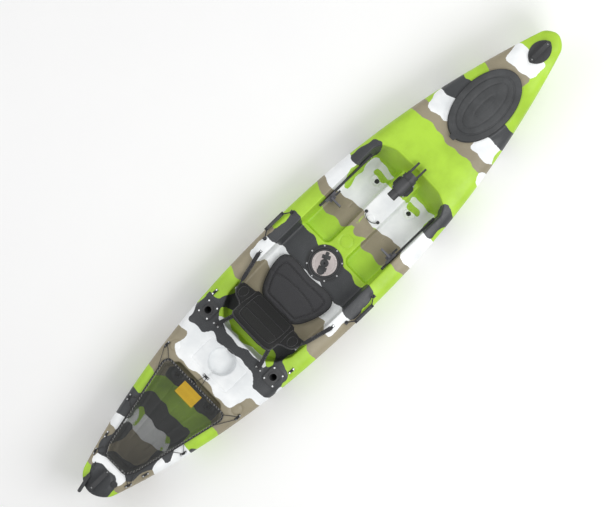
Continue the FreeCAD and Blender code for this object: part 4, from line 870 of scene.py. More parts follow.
def make_materials(colours):
    """Every finish of the boat."""
    shades = {LIME: colours.lime, TAN: colours.tan, WHITE: colours.white, BLACK: colours.black}
    MATERIALS.update(
        camouflage=camouflage_plastic(shades),
        black=grained_plastic("black_nylon", (0.030, 0.031, 0.033)),
        hatch=grained_plastic("charcoal_lid", (0.034, 0.036, 0.038), 0.6, 900),
        grey=grained_plastic("grey_nylon", (0.10, 0.10, 0.115), 0.5),
        rosy=grained_plastic("pale_lid_plastic", (0.46, 0.41, 0.40), 0.4),
        seal=rubber("seal_rubber", (0.012, 0.012, 0.013)),
        foam=rubber("closed_cell_foam", (0.26, 0.27, 0.28)),
        steel=steel("stainless_steel"),
        seat=woven("seat_polyester", (0.034, 0.034, 0.037), (0.056, 0.056, 0.061), 0.0016,
            sheen=0.10),
        # The seat back is dark mesh, and its colour is darkened further with painted shade for its
        # face, which the lamps only graze.
        back=woven("seat_back_mesh_painted_shade", (0.004, 0.004, 0.0045), (0.009, 0.009, 0.010), 0.0022,
            0.0003, sheen=0.03),
        webbing=woven("nylon_webbing", (0.016, 0.016, 0.018), (0.036, 0.036, 0.040), 0.0024),
        piping=woven("seat_binding", (0.020, 0.020, 0.022), (0.034, 0.034, 0.037), 0.0012),
        cord=braided_cord("shock_cord", (0.015, 0.015, 0.016), (0.30, 0.30, 0.29)),
        hem=woven("net_hem", (0.012, 0.012, 0.013), (0.030, 0.030, 0.031), 0.0020),
        patch=woven("amber_patch", (0.40, 0.24, 0.006), (0.66, 0.43, 0.03), 0.0060, 0.0008),
        net=net_cloth("woven_net"),
        mark=grained_plastic("white_mark_paint", (0.72, 0.72, 0.70), 0.5),
        thread=woven("pale_thread", (0.42, 0.42, 0.40), (0.60, 0.60, 0.57), 0.0010),
    )


def wear(piece, finish):
    """Gives a piece one finish in place of any that it had."""
    piece.data.materials.clear()
    piece.data.materials.append(MATERIALS[finish])


def dress_frame():
    """Gives each carried-over node the finish of its record slot."""
    finish = {
        "lid_plastic": "hatch", "black_plastic": "black", "grey_plastic": "grey",
        "seal_rubber": "seal", "closed_foam": "foam",
        "stainless": "steel", "webbing": "webbing", "cord": "cord",
        "mesh_fabric": "net", "hem_fabric": "hem", "patch_fabric": "patch",
        "seat_fabric": "seat", "shell_plastic": "camouflage",
    }
    slots = {p["node"]: p["material_slot"] for p in frame["record"]["subparts"]}
    for name, piece in frame["nodes"].items():
        wear(piece, finish[slots[name]])


# ---------------------------------------------------------------- soft goods
# Lengths in this part are metres.
CLOTH_FRAMES = 20


def apply_modifiers(piece):
    """Replaces the mesh by its final, modified form."""
    graph = bpy.context.evaluated_depsgraph_get()
    graph.update()
    final = bpy.data.meshes.new_from_object(piece.evaluated_get(graph))
    piece.modifiers.clear()
    piece.data = final
    smooth_faces(final)


def mesh_places(piece):
    """A mesh's vertices as rows of x, y and z."""
    places = np.zeros(len(piece.data.vertices) * 3)
    piece.data.vertices.foreach_get("co", places)
    return places.reshape(-1, 3)


def set_places(piece, places):
    """Moves a mesh's vertices."""
    piece.data.vertices.foreach_set("co", places.ravel())
    piece.data.update()


def slab(name, half, thick):
    """A flat closed pad blank from half its outline, mirrored about y = 0."""
    turns = smooth_run([Vector(p) for p in half])
    rim = turns + [Vector((p.x, -p.y)) for p in reversed(turns)]
    bm = bmesh.new()
    base = bm.faces.new([bm.verts.new((p.x, p.y, -thick / 2)) for p in rim])
    top = bmesh.ops.extrude_face_region(bm, geom=[base])
    up = [v for v in top["geom"] if isinstance(v, bmesh.types.BMVert)]
    bmesh.ops.translate(bm, verts=up, vec=(0, 0, thick))
    bmesh.ops.recalc_face_normals(bm, faces=bm.faces)
    return from_bmesh(name, bm)


def smooth_run(points, steps=6):
    """A rounded run through the points, by Catmull-Rom steps; its ends stay put."""
    ends = [points[0]] + list(points) + [points[-1]]
    run = []
    for i in range(1, len(ends) - 2):
        a, b, c, d = ends[i - 1 : i + 3]
        for k in range(steps):
            t = k / steps
            run.append(
                0.5 * (2 * b + (c - a) * t + (2 * a - 5 * b + 4 * c - d) * t * t
                       + (3 * b - a - 3 * c + d) * t**3)
            )
    run.append(points[-1])
    return run


def puff(piece, voxel, cap, pressure=4.0):
    """Inflates a pad blank as cloth, and keeps each point within cap of its start."""
    remesh = piece.modifiers.new("remesh", "REMESH")
    remesh.mode, remesh.voxel_size = "VOXEL", voxel
    apply_modifiers(piece)
    start = mesh_places(piece)
    cloth = piece.modifiers.new("cloth", "CLOTH")
    cloth.settings.use_pressure = True
    cloth.settings.uniform_pressure_force = pressure
    cloth.settings.effector_weights.gravity = 0
    cloth.settings.quality = 4
    scene = bpy.context.scene
    for frame_number in range(1, CLOTH_FRAMES + 1):
        scene.frame_set(frame_number)
    apply_modifiers(piece)
    scene.frame_set(1)
    places = mesh_places(piece)
    move = places - start
    far = np.linalg.norm(move, axis=1)
    move *= np.minimum(1, cap / np.maximum(far, 1e-9))[:, None]
    set_places(piece, start + move)


def soften(piece, rounds, factor=0.5):
    """Evens out the bumps of a remeshed pad."""
    smooth = piece.modifiers.new("smooth", "SMOOTH")
    smooth.iterations, smooth.factor = rounds, factor
    apply_modifiers(piece)


def refine(piece):
    """Adds one subdivision."""
    finer = piece.modifiers.new("finer", "SUBSURF")
    finer.levels = finer.render_levels = 1
    apply_modifiers(piece)


def spread(piece, low, high):
    """Stretches a pad in x and y so that it fills the size it is made to."""
    places = mesh_places(piece)
    for k in (0, 1):
        least, most = places[:, k].min(), places[:, k].max()
        places[:, k] = low[k] + (places[:, k] - least) * (high[k] - low[k]) / (most - least)
    set_places(piece, places)


def run_distance(places, run):
    """Distance in plan from each place to a run of points."""
    best = np.full(len(places), 1e3)
    for a, b in zip(run[:-1], run[1:]):
        a, b = np.array(a[:2]), np.array(b[:2])
        d = b - a
        t = np.clip(((places[:, :2] - a) @ d) / max(d @ d, 1e-12), 0, 1)
        best = np.minimum(best, np.linalg.norm(places[:, :2] - a - t[:, None] * d, axis=1))
    return best


def seam_in(piece, runs, depth, width):
    """Draws the top of a pad down along its sewn channels."""
    places = mesh_places(piece)
    top = places[:, 2] > np.median(places[:, 2])
    for run in runs:
        dip = depth * np.exp(-((run_distance(places, run) / width) ** 2))
        places[:, 2] -= np.where(top, dip, 0)
    set_places(piece, places)


def surface_run(piece, run, lift):
    """The run laid on the pad's top."""
    from_above = []
    for p in run:
        hit, place, normal, _ = piece.ray_cast(Vector((p[0], p[1], 0.4)), Vector((0, 0, -1)))
        if hit:
            from_above.append(place + normal * lift)
    return from_above


def tube(name, runs, radius, sides=3, closed=False):
    """Round cords along smooth runs, as one mesh."""
    curve = bpy.data.curves.new(name, "CURVE")
    curve.dimensions = "3D"
    curve.bevel_depth, curve.bevel_resolution = radius, sides
    curve.resolution_u = 3
    curve.use_fill_caps = True
    for run in runs:
        spline = curve.splines.new("NURBS")
        spline.points.add(len(run) - 1)
        for point, p in zip(spline.points, run):
            point.co = (*p, 1)
        spline.order_u = 3
        spline.use_endpoint_u = not closed
        spline.use_cyclic_u = closed
    made = linked(name, curve)
    bpy.context.view_layer.update()
    graph = bpy.context.evaluated_depsgraph_get()
    mesh = bpy.data.meshes.new_from_object(made.evaluated_get(graph))
    bpy.data.objects.remove(made)
    smooth_faces(mesh)
    return linked(name, mesh)


def stitches(runs, length=0.004, gap=0.0035):
    """Short stretches of each run, for a line of stitching."""
    dashes = []
    for run in runs:
        run = [Vector(p) for p in run]
        travelled = 0.0
        for a, b in zip(run[:-1], run[1:]):
            step = (b - a).length
            if step < 1e-6:
                continue
            place = 0.0
            while place < step:
                phase = (travelled + place) % (length + gap)
                if phase < length:
                    stop = min(step, place + length - phase)
                    dashes.append([a.lerp(b, place / step), a.lerp(b, stop / step)])
                    place = stop + 1e-5
                else:
                    place += length + gap - phase + 1e-5
            travelled += step
    return [d for d in dashes if (d[1] - d[0]).length > length * 0.4]


CUSHION = [(-0.388, 0), (-0.388, 0.062), (-0.386, 0.112), (-0.362, 0.146), (-0.312, 0.176),
           (-0.245, 0.200), (-0.180, 0.211), (-0.137, 0.204), (-0.112, 0.176),
           (-0.103, 0.130), (-0.105, 0.070), (-0.112, 0)]
CUSHION_FLOOR, CUSHION_THICK = 0.1405, 0.040


def mirrored_run(half):
    """A run and its mirror image about y = 0, joined."""
    return list(half) + [Vector((p[0], -p[1])) for p in reversed(half)][1:]


def build_cushion():
    """The seat pad: crowned, bound at its edge, with a raised border and two channels."""
    half = [Vector(p) for p in CUSHION]
    blank = [p - (p - Vector((-0.245, 0))).normalized() * 0.004 for p in half]
    piece = slab("seat_pad", blank, CUSHION_THICK - 0.010)
    piece.data.transform(Matrix.Translation((0, 0, CUSHION_FLOOR + CUSHION_THICK / 2)))
    puff(piece, 0.006, 0.009)
    soften(piece, 3)
    refine(piece)
    spread(piece, (-0.388, -0.209), (-0.106, 0.209))
    places = mesh_places(piece)
    border = [Vector(p) for p in ((-0.356, 0), (-0.355, 0.104), (-0.338, 0.121),
              (-0.288, 0.148), (-0.236, 0.166), (-0.182, 0.170), (-0.156, 0.158),
              (-0.150, 0.120), (-0.152, 0.060), (-0.156, 0))]
    ring_run = mirrored_run(smooth_run(border))
    crossing = [Vector((-0.262 + 0.036 * math.cos(a), 0.157 * math.sin(a)))
                for a in np.linspace(-1.45, 1.45, 25)]
    crossing = [Vector((p.x + 0.012, p.y)) for p in crossing]
    low = CUSHION_FLOOR + 0.001
    places[:, 2] = np.where(places[:, 2] < low, low + (places[:, 2] - low) * 0.15, places[:, 2])
    set_places(piece, places)
    seam_in(piece, [ring_run], 0.0075, 0.0065)
    seam_in(piece, [crossing], 0.006, 0.0060)
    top = mesh_places(piece)
    wrinkle = 0.0011 * np.sin(top[:, 0] * 210 + 3 * np.sin(top[:, 1] * 40)) * np.sin(top[:, 1] * 90)
    near_edge = np.exp(-((run_distance(top, mirrored_run(smooth_run(half))) / 0.03) ** 2))
    top[:, 2] += wrinkle * near_edge
    set_places(piece, top)
    wear(piece, "seat")
    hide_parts("seat_cushion")
    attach(piece, "hull")
    lines = [surface_run(piece, run, 0.0004) for run in (ring_run, crossing)]
    cord_piece = tube("seat_pad_piping", [line for line in lines if len(line) > 3], 0.0021)
    edge = mirrored_run(smooth_run(half))
    middle = CUSHION_FLOOR + CUSHION_THICK * 0.55
    rim = [nearest_on(piece, Vector((p.x, p.y, middle)), 0.0012) for p in edge]
    binding = tube("seat_pad_binding", [rim], 0.0042, closed=True)
    sewn = []
    for run in (ring_run, crossing):
        for side in (-0.0065, 0.0065):
            shifted = shift_run(run, side)
            sewn.append(surface_run(piece, shifted, 0.0003))
    thread = tube("seat_pad_stitching", stitches([s for s in sewn if len(s) > 3]), 0.0006, 1)
    for extra in (cord_piece, binding, thread):
        wear(extra, "piping")
        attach(extra, "hull")


def shift_run(run, side):
    """The run moved sideways in plan."""
    moved = []
    for i, p in enumerate(run):
        ahead = run[min(i + 1, len(run) - 1)] - run[max(i - 1, 0)]
        across_run = Vector((-ahead.y, ahead.x)).normalized()
        moved.append(Vector((p.x, p.y)) + across_run * side)
    return moved


def nearest_on(piece, place, lift):
    """The nearest point of a piece's surface, lifted off it."""
    _, at, normal, _ = piece.closest_point_on_mesh(place)
    return at + normal * lift


HINGE = Vector((-0.402, 0, 0.208))
BACK_LEAN = math.radians(25)
BACK = [(-0.016, 0), (-0.016, 0.120), (-0.008, 0.152), (0.020, 0.166), (0.034, 0.200),
        (0.062, 0.240), (0.110, 0.251), (0.178, 0.248), (0.222, 0.228), (0.246, 0.186),
        (0.280, 0.164), (0.360, 0.158), (0.408, 0.146), (0.430, 0.112), (0.436, 0.050),
        (0.437, 0)]


def back_place():
    """Turns x up the back, y across it and z out of its front face into the boat's frame."""
    up = Vector((-math.sin(BACK_LEAN), 0, math.cos(BACK_LEAN)))
    out = Vector((math.cos(BACK_LEAN), 0, math.sin(BACK_LEAN)))
    turn = Matrix((up, Vector((0, 1, 0)), out)).transposed().to_4x4()
    return Matrix.Translation(HINGE) @ turn


def build_back():
    """The folding back: a quilted panel between two side wings that curl forward."""
    half = [Vector(p) for p in BACK]
    blank = [p - (p - Vector((0.2, 0))).normalized() * 0.004 for p in half]
    piece = slab("seat_back_pad", blank, 0.026)
    puff(piece, 0.0065, 0.010)
    soften(piece, 3)
    refine(piece)
    spread(piece, (-0.016, -0.250), (0.437, 0.250))
    places = mesh_places(piece)
    outer = np.clip((np.abs(places[:, 1]) - 0.155) / 0.09, 0, 1)
    places[:, 2] *= 1 - 0.38 * outer
    set_places(piece, places)
    panel = mirrored_run(smooth_run([Vector(p) for p in (
        (0.020, 0), (0.020, 0.110), (0.036, 0.130), (0.120, 0.136), (0.250, 0.134),
        (0.360, 0.128), (0.392, 0.110), (0.402, 0.060), (0.403, 0))]))
    wing_lines = []
    for side in (1, -1):
        wing_lines.append([Vector((x, side * (0.160 - 0.004 * math.sin(x * 14))))
                           for x in np.linspace(0.03, 0.272, 18)])
        wing_lines.append([Vector((0.15 + 0.07 * math.cos(a), side * (0.205 + 0.026 * math.sin(a))))
                           for a in np.linspace(0, 2 * math.pi, 24)])
    ribs = [[Vector((x, y)) for y in np.linspace(-0.128, 0.128, 18)] for x in (0.145, 0.270)]
    runs = [panel] + wing_lines + ribs
    for lines, depth in (([panel], 0.006), (wing_lines, 0.004), (ribs, 0.0045)):
        for run in lines:
            seam_in(piece, [run], depth, 0.006)
    lines = [surface_run(piece, run, 0.0003) for run in runs]
    cords = tube("seat_back_piping", [line for line in lines if len(line) > 3], 0.0018)
    edge = mirrored_run(smooth_run(half))
    rim = [nearest_on(piece, Vector((p.x, p.y, 0)), 0.001) for p in edge]
    binding = tube("seat_back_binding", [rim], 0.0040, closed=True)
    for item, finish in ((piece, "back"), (cords, "piping"), (binding, "piping")):
        places = mesh_places(item)
        reach = np.clip((np.abs(places[:, 1]) - 0.150) / 0.10, 0, 1)
        places[:, 2] += 0.016 * reach**2
        set_places(item, places)
        item.data.transform(back_place())
        wear(item, finish)
    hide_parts("seat_back")
    for item in (piece, cords, binding):
        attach(item, "seat_back")


# ---------------------------------------------------------------- hatch lids
# Rings and places in this part are millimetres, and bars are metres.

LID_RINGS = (
    (256.5, 156, 15.2), (256.5, 156, 19), (255.4, 155, 22.5), (252.5, 152.2, 24.6),
    (248, 148, 25.2), (236, 139, 26.0), (223, 129.5, 26.4), (218, 126, 26.0),
    (215.5, 124, 24.0), (212, 121.5, 22.8), (208.5, 119, 23.0), (205.5, 116.5, 25.0),
    (203, 114.5, 28.0), (200, 112, 29.0), (192, 101, 29.4), (182, 86, 29.5),
    (176.5, 78.5, 29.2), (174, 76, 27.2), (171, 73, 26.2), (168, 70, 26.6),
    (165.5, 67.5, 29.4), (162, 64.5, 30.2), (148, 54, 30.5), (126, 42, 30.7),
    (102, 30, 30.8), (94, 25.5, 30.2), (91, 23, 28.6), (86, 20, 28.4), (60, 13, 28.6),
    (30, 6, 28.8),
)


def rings_piece(name, rings, centre, count, below):
    """A lid turned from nested ovals, closed underneath at its first ring."""
    angles = np.linspace(0, 2 * math.pi, count, endpoint=False)
    vertices, faces = [], []
    layers = [(rings[0][0] * s, rings[0][1] * s, below) for s in (0.2, 0.6, 0.93)] + list(rings)
    for a, b, h in layers:
        vertices += [(centre[0] + a * c, centre[1] + b * s, h)
                     for c, s in zip(np.cos(angles), np.sin(angles))]
    for k in range(len(layers) - 1):
        for i in range(count):
            j = (i + 1) % count
            faces.append((k * count + i, k * count + j, (k + 1) * count + j, (k + 1) * count + i))
    vertices += [(*centre, below), (*centre, rings[-1][2])]
    last = (len(layers) - 1) * count
    for i in range(count):
        j = (i + 1) % count
        faces.append((len(vertices) - 2, j, i))
        faces.append((last + i, last + j, len(vertices) - 1))
    return new_object(name, vertices, faces)


def tilted(places):
    """Puts hatch-frame heights on the sloping foredeck, in metres."""
    places = np.array(places, float)
    places[:, 2] += FOREDECK_LEVEL + FOREDECK_SLOPE * (places[:, 0] - HATCH_AT)
    return places * MM


def finish_piece(piece, body, material, replaces=()):
    """Gives a piece its finish and body, and hides the nodes that it stands for."""
    wear(piece, material)
    if replaces:
        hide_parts(*replaces)
    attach(piece, body)


def rounded_bar(name, half_size, bevel, segments=3):
    """A block with rounded edges."""
    bm = bmesh.new()
    bmesh.ops.create_cube(bm, size=2.0)
    bmesh.ops.scale(bm, vec=half_size, verts=bm.verts)
    bmesh.ops.bevel(bm, geom=list(bm.edges), offset=bevel, segments=segments,
                    affect="EDGES", profile=0.5)
    piece = from_bmesh(name, bm)
    smooth_faces(piece.data)
    return piece


def joined(name, pieces):
    """One object in place of several."""
    bm = bmesh.new()
    for piece in pieces:
        piece.data.transform(piece.matrix_basis)
        bm.from_mesh(piece.data)
        bpy.data.objects.remove(piece)
    return from_bmesh(name, bm)


RIB_PITCH = 8.2


def build_bow_lid():
    """The big oval lid: stepped ovals, a ribbed middle and a pull tongue aft."""
    piece = rings_piece("bow_lid_cover", LID_RINGS, (HATCH_AT, 0), 144, 15.2)
    set_places(piece, tilted(mesh_places(piece)))
    finish_piece(piece, "bow_lid", "hatch", ["bow_hatch_lid"])
    tongue = rounded_bar("bow_lid_tongue", (0.026, 0.027, 0.0042), 0.0035)
    places = mesh_places(tongue)
    places[:, 1] *= 1 - 0.45 * np.clip(-places[:, 0] / 0.026, 0, 1) ** 2
    grip = 0.0016 * np.maximum(np.cos(places[:, 0] * 700), 0) * (places[:, 0] < 0.004)
    places[:, 2] += np.where(places[:, 2] > 0, grip, 0)
    places = places / MM + np.array([HATCH_AT - 249, 0, 20.2])
    set_places(tongue, tilted(places))
    bars = []
    for k in range(-9, 10):
        reach = 18.5 * math.sqrt(max(1 - (k / 10.2) ** 2, 0.02))
        bar = rounded_bar("rib", (0.0017, reach * MM * 0.86, 0.0013), 0.0009, 2)
        bar.matrix_basis = Matrix.Translation(
            ((HATCH_AT + k * RIB_PITCH) * MM, 0,
             (FOREDECK_LEVEL + FOREDECK_SLOPE * k * RIB_PITCH + 29.0) * MM)
        ) @ Matrix.Rotation(0.35, 4, "Z")
        bars.append(bar)
    ribs = joined("bow_lid_ribs", bars)
    for item in (tongue, ribs):
        finish_piece(item, "bow_lid", "hatch")


# Round profiles as radius and height, from the outside in.
ROUND_RIM = (
    (89, 148.7), (89, 152), (88.4, 154), (87, 155.6), (84.5, 156.6), (81, 156.8),
    (79, 156.0), (77.5, 154.0), (76, 153), (20, 153),
)
ROUND_FACE = (
    (75.5, 153), (75.5, 155), (74.6, 156.2), (73, 156.6), (66, 156.9), (62, 156.6),
    (60.5, 155.2), (58.5, 154.8), (57, 155.2), (55.5, 156.5), (53, 157), (40, 157.2),
    (20, 157.2),
)
# A boss's edge, as steps inwards from its radius and down from its top.
BOSS_STEPS = ((0, 2), (0.8, 0.6), (2.4, 0), (6, 0), (7.4, 1.6), (9, 2.2))


def round_rings(profile):
    """Rings for a round piece from its radii and heights."""
    return [(radius, radius, height) for radius, height in profile]


def build_round_lid():
    """The twist lid: pale dished disc, dark grip with two round bosses, and marks."""
    face = rings_piece("round_lid_face", round_rings(ROUND_FACE), ROUND_AT, 96, 152.5)
    set_places(face, mesh_places(face) * MM)
    finish_piece(face, "centre_lid", "rosy")
    lid = rings_piece("round_lid", round_rings(ROUND_RIM), ROUND_AT, 96, 148.7)
    places = mesh_places(lid)
    angle = np.arctan2(places[:, 1], places[:, 0] - ROUND_AT[0])
    rim = np.hypot(places[:, 0] - ROUND_AT[0], places[:, 1]) > 86
    lobes = 1 - 0.012 * (np.cos(angle * 24) > 0.4) * rim
    places[:, 0] = ROUND_AT[0] + (places[:, 0] - ROUND_AT[0]) * lobes
    places[:, 1] *= lobes
    set_places(lid, places * MM)
    finish_piece(lid, "centre_lid", "black", ["centre_hatch_lid"])
    parts = []
    for (dx, dy), radius, top in (((0, 0), 25, 163.2), ((-47, -17), 24, 161.5)):
        edge = [(radius - inward, top - down) for inward, down in BOSS_STEPS]
        edge = round_rings([(radius, 155), *edge, (5, top - 2.4)])
        boss = rings_piece("boss", edge, (ROUND_AT[0] + dx, ROUND_AT[1] + dy), 48, 155)
        set_places(boss, mesh_places(boss) * MM)
        parts.append(boss)
    bar = rounded_bar("bar", (0.054, 0.0105, 0.0030), 0.0026)
    bar.matrix_basis = Matrix.Translation((0.018, 0.010, 0.1578)) @ Matrix.Rotation(0.42, 4, "Z")
    parts.append(bar)
    for turn, start in ((0.5, 38), (math.pi + 0.4, 34)):
        wing = rounded_bar("wing", (0.012, 0.026, 0.0014), 0.0012)
        reach = Vector((math.cos(turn), math.sin(turn), 0)) * start * MM
        wing.matrix_basis = Matrix.Translation(
            (ROUND_AT[0] * MM + reach.x, reach.y, 0.1575)) @ Matrix.Rotation(turn, 4, "Z")
        parts.append(wing)
    finish_piece(joined("round_lid_grip", parts), "centre_lid", "black")
    marks = []
    for k in range(24):
        turn = k * math.pi / 12 + 0.1
        mark = rounded_bar("mark", (0.0011, 0.0030, 0.0004), 0.0003, 1)
        place = Vector((ROUND_AT[0] * MM + 0.0692 * math.cos(turn), 0.0692 * math.sin(turn), 0.1571))
        mark.matrix_basis = Matrix.Translation(place) @ Matrix.Rotation(turn, 4, "Z")
        marks.append(mark)
    finish_piece(joined("round_lid_marks", marks), "centre_lid", "mark")


# ---------------------------------------------------------------- net and straps
# The net is drawn in millimetres, and the straps in metres.


def net_level(x):
    """Height of the taut net above the sloping rim."""
    return 356.8 + 1.5 - 0.0636 * (x + 1690)


NET = mirrored([(-1688, 74), (-1629, 104), (-1068, 233), (-1043, 218)])


def build_net(depth):
    """The stretched net, slack by a depth in its middle, and the stitching round its hem."""
    points, normals = outline(NET, 40)
    drawing = Drawing()
    drawing.line(points)
    drawing.line(points - normals * 9)
    grid = np.stack(np.meshgrid(np.arange(-1670, -1050, 13), np.arange(-221, 222, 13)), 2)
    grid = grid.reshape(-1, 2)
    deep = inside_distance(points, grid[:, 0], grid[:, 1])
    drawing.points += [tuple(p) for p in grid[deep > 12]]
    flat, faces = drawing.joined()
    centre = flat[faces].mean(1)
    faces = faces[inside_distance(points, centre[:, 0], centre[:, 1]) > 0]
    deep = np.maximum(inside_distance(points, flat[:, 0], flat[:, 1]), 0)
    slack = depth * (1 - np.exp(-((deep / 70) ** 2)))
    slack += 1.2 * np.sin(flat[:, 0] * 0.05) * np.sin(flat[:, 1] * 0.045) * np.minimum(deep / 40, 1)
    height = net_level(flat[:, 0]) + 2.0 - slack
    net = new_object("tankwell_net", np.stack([flat[:, 0], flat[:, 1], height], 1) * MM, faces)
    finish_piece(net, "hull", "net", ["tankwell_mesh"])
    sewn = []
    for outward in (3.5, 8.5):
        run = points + normals * outward
        sewn.append([(x * MM, y * MM, (net_level(x) + 3.9) * MM) for x, y in run])
    thread = tube("hem_stitching", stitches(sewn, 0.009, 0.010), 0.0009, 1)
    finish_piece(thread, "hull", "thread")


def ribbon(name, path, widths, thick):
    """Flat webbing along a path; each place has its own width direction."""
    vertices, faces = [], []
    for p, w in zip(path, widths):
        p, w = Vector(p), Vector(w)
        i = len(vertices) // 4
        ahead = Vector(path[min(i + 1, len(path) - 1)]) - Vector(path[max(i - 1, 0)])
        up = w.cross(ahead).normalized() * thick / 2
        vertices += [p - w - up, p + w - up, p + w + up, p - w + up]
    for i in range(len(path) - 1):
        for k in range(4):
            j = (k + 1) % 4
            faces.append((4 * i + k, 4 * i + j, 4 * i + 4 + j, 4 * i + 4 + k))
    last = 4 * (len(path) - 1)
    faces += [(3, 2, 1, 0), (last, last + 1, last + 2, last + 3)]
    piece = new_object(name, vertices, faces, smooth=False)
    bevel = piece.modifiers.new("edge", "BEVEL")
    bevel.width, bevel.segments, bevel.limit_method = thick * 0.3, 2, "ANGLE"
    apply_modifiers(piece)
    return piece


def hanging(start, end, sag, count=22):
    """A run between two ends that sags in its middle."""
    start, end = Vector(start), Vector(end)
    path = []
    for k in range(count):
        t = k / (count - 1)
        p = start.lerp(end, t)
        p.z -= sag * 4 * t * (1 - t)
        path.append(p)
    return path


# How many steps a front strap takes to turn flat after it leaves the back.
STRAP_TURN = 7


def build_straps(width):
    """The seat's four webbing straps, each turning from the back to its padeye."""
    for side, word in ((1, "left"), (-1, "right")):
        front = ((-0.4372, side * 0.2525, 0.3269), (-0.230, side * 0.3056, 0.3172))
        rear = ((-0.5137, side * 0.120, 0.3931), (-0.705, side * 0.1791, 0.3267))
        for name, (start, end), tall, sag in (
            (f"seat_front_strap_{word}", front, Vector((0, side * 0.2, 1)), 0.004),
            (f"seat_rear_strap_{word}", rear, None, 0.010),
        ):
            path = hanging(start, end, sag)
            run = (Vector(end) - Vector(start)).normalized()
            flat = Vector((0, 0, 1)).cross(run).normalized()
            widths = []
            for k in range(len(path)):
                way = flat
                if tall:
                    t = float(ease(k / STRAP_TURN))
                    first = (tall - run * tall.dot(run)).normalized()
                    way = first * (1 - t) + flat * side * t
                widths.append(way.normalized() * (width / 2))
            main = ribbon("strap", path, widths, 0.002)
            fold = ribbon("fold", [p + Vector((0, 0, 0.0024)) for p in path[-7:-1]],
                          [w * 0.97 for w in widths[-7:-1]], 0.0018)
            web = joined(name + "_web", [main, fold])
            smooth_faces(web.data)
            wear(web, "webbing")
            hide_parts(name)
            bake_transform(web)
            rows = []
            for across_by in (-0.72, 0.72):
                rows.append([p + w * across_by + Vector((0, 0, 0.0014))
                             for p, w in zip(path[STRAP_TURN + 1:], widths[STRAP_TURN + 1:])])
            thread = tube(name + "_stitching", stitches(rows, 0.004, 0.004), 0.0005, 1)
            wear(thread, "thread")
            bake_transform(thread)


# ---------------------------------------------------------------- stage


def build_stage(settings):
    """A pale floor, even surrounding light and three soft lamps."""
    floor = new_object(
        "studio_floor",
        [(-14, -14, 0), (14, -14, 0), (14, 14, 0), (-14, 14, 0)],
        [(0, 1, 2, 3)],
    )
    floor.location.z = -0.001
    s = Surface("studio_paper", (0.96, 0.96, 0.96), 0.9)
    s.colour(s.mix(s.noise(3, 3), (0.95, 0.95, 0.95), (0.97, 0.97, 0.97)))
    floor.data.materials.append(s.material)
    world = bpy.data.worlds.new("studio")
    world.use_nodes = True
    world.node_tree.nodes["Background"].inputs[0].default_value = (1, 1, 1, 1)
    world.node_tree.nodes["Background"].inputs[1].default_value = settings.ambient
    bpy.context.scene.world = world
    bpy.context.scene.view_settings.view_transform = "Standard"
    for name, place, size, power in (
        ("key", (0.8, -3.4, 4.6), 3.2, settings.key),
        ("fill", (-1.5, 3.2, 4.2), 4.0, settings.key * 0.35),
        ("front", (4.6, 0.5, 3.2), 3.0, settings.key * 0.3),
    ):
        light = bpy.data.lights.new(name, "AREA")
        light.size, light.energy = size, power
        lamp = bpy.data.objects.new(name, light)
        lamp.location = place
        aim = Vector((0, 0, 0.2)) - lamp.location
        lamp.rotation_euler = aim.to_track_quat("-Z", "Y").to_euler()
        bpy.context.scene.collection.objects.link(lamp)


VIEW_WIDTH = 3.6008
VIEW_SHIFT = (0.0987, 0.0570)
SENSOR_WIDTH = 36


def build_camera(settings):
    """Straight down from high above, rolled so that the bow points up and right."""
    distance = settings.camera_height
    across_view = Vector((0.7170, -0.6970, 0))
    up_view = Vector((0.6970, 0.7170, 0))
    aim = Vector((0, 0, 0.3)) - across_view * VIEW_SHIFT[0] + up_view * VIEW_SHIFT[1]
    lean = settings.camera_lean
    back = Vector((0, -math.sin(lean), math.cos(lean)))
    across_view = (across_view - back * across_view.dot(back)).normalized()
    up_view = back.cross(across_view)
    lens = bpy.data.cameras.new("camera")
    lens.sensor_width = SENSOR_WIDTH
    lens.lens = SENSOR_WIDTH * distance / VIEW_WIDTH
    lens.clip_end = 100
    camera = bpy.data.objects.new("camera", lens)
    place = Matrix((across_view, up_view, back)).transposed().to_4x4()
    place.translation = aim + back * distance
    camera.matrix_world = place
    bpy.context.scene.collection.objects.link(camera)
    bpy.context.scene.camera = camera


# ---------------------------------------------------------------- add-on


def colour_property(name, description, shade):
    """A colour that the user may change, starting from one of the shades."""
    return bpy.props.FloatVectorProperty(
        name=name, description=description, default=SHADES[shade], size=3, min=0.0, max=1.0,
        subtype="COLOR",
    )


class KayakColours(bpy.types.PropertyGroup):
    lime: colour_property("Lime", "Camouflage colour under all the others", LIME)
    tan: colour_property("Tan", "Khaki patches of the camouflage", TAN)
    white: colour_property("White", "White patches of the camouflage", WHITE)
    black: colour_property("Black", "Black patches of the camouflage", BLACK)


class KayakSizes(bpy.types.PropertyGroup):
    shell_wall: bpy.props.FloatProperty(
        name="Shell wall", description="Thickness of the moulded shell",
        default=0.0045, min=0.001, unit="LENGTH",
    )
    net_slack: bpy.props.FloatProperty(
        name="Net slack", description="How far the net hangs in its middle",
        default=0.009, min=0.0, unit="LENGTH",
    )
    strap_width: bpy.props.FloatProperty(
        name="Strap width", description="Width of the seat's webbing",
        default=0.025, min=0.005, unit="LENGTH",
    )


class KayakStage(bpy.types.PropertyGroup):
    ambient: bpy.props.FloatProperty(
        name="Ambient", description="Brightness of the surrounding light", default=0.58
    )
    key: bpy.props.FloatProperty(
        name="Key light", description="Power of the large soft lamp", default=145.0,
        unit="POWER",
    )
    camera_height: bpy.props.FloatProperty(
        name="Camera height", description="Distance from the camera to the deck",
        default=14.0, unit="LENGTH",
    )
    camera_lean: bpy.props.FloatProperty(
        name="Camera lean", description="How far the camera leans to starboard",
        default=0.0436, subtype="ANGLE",
    )


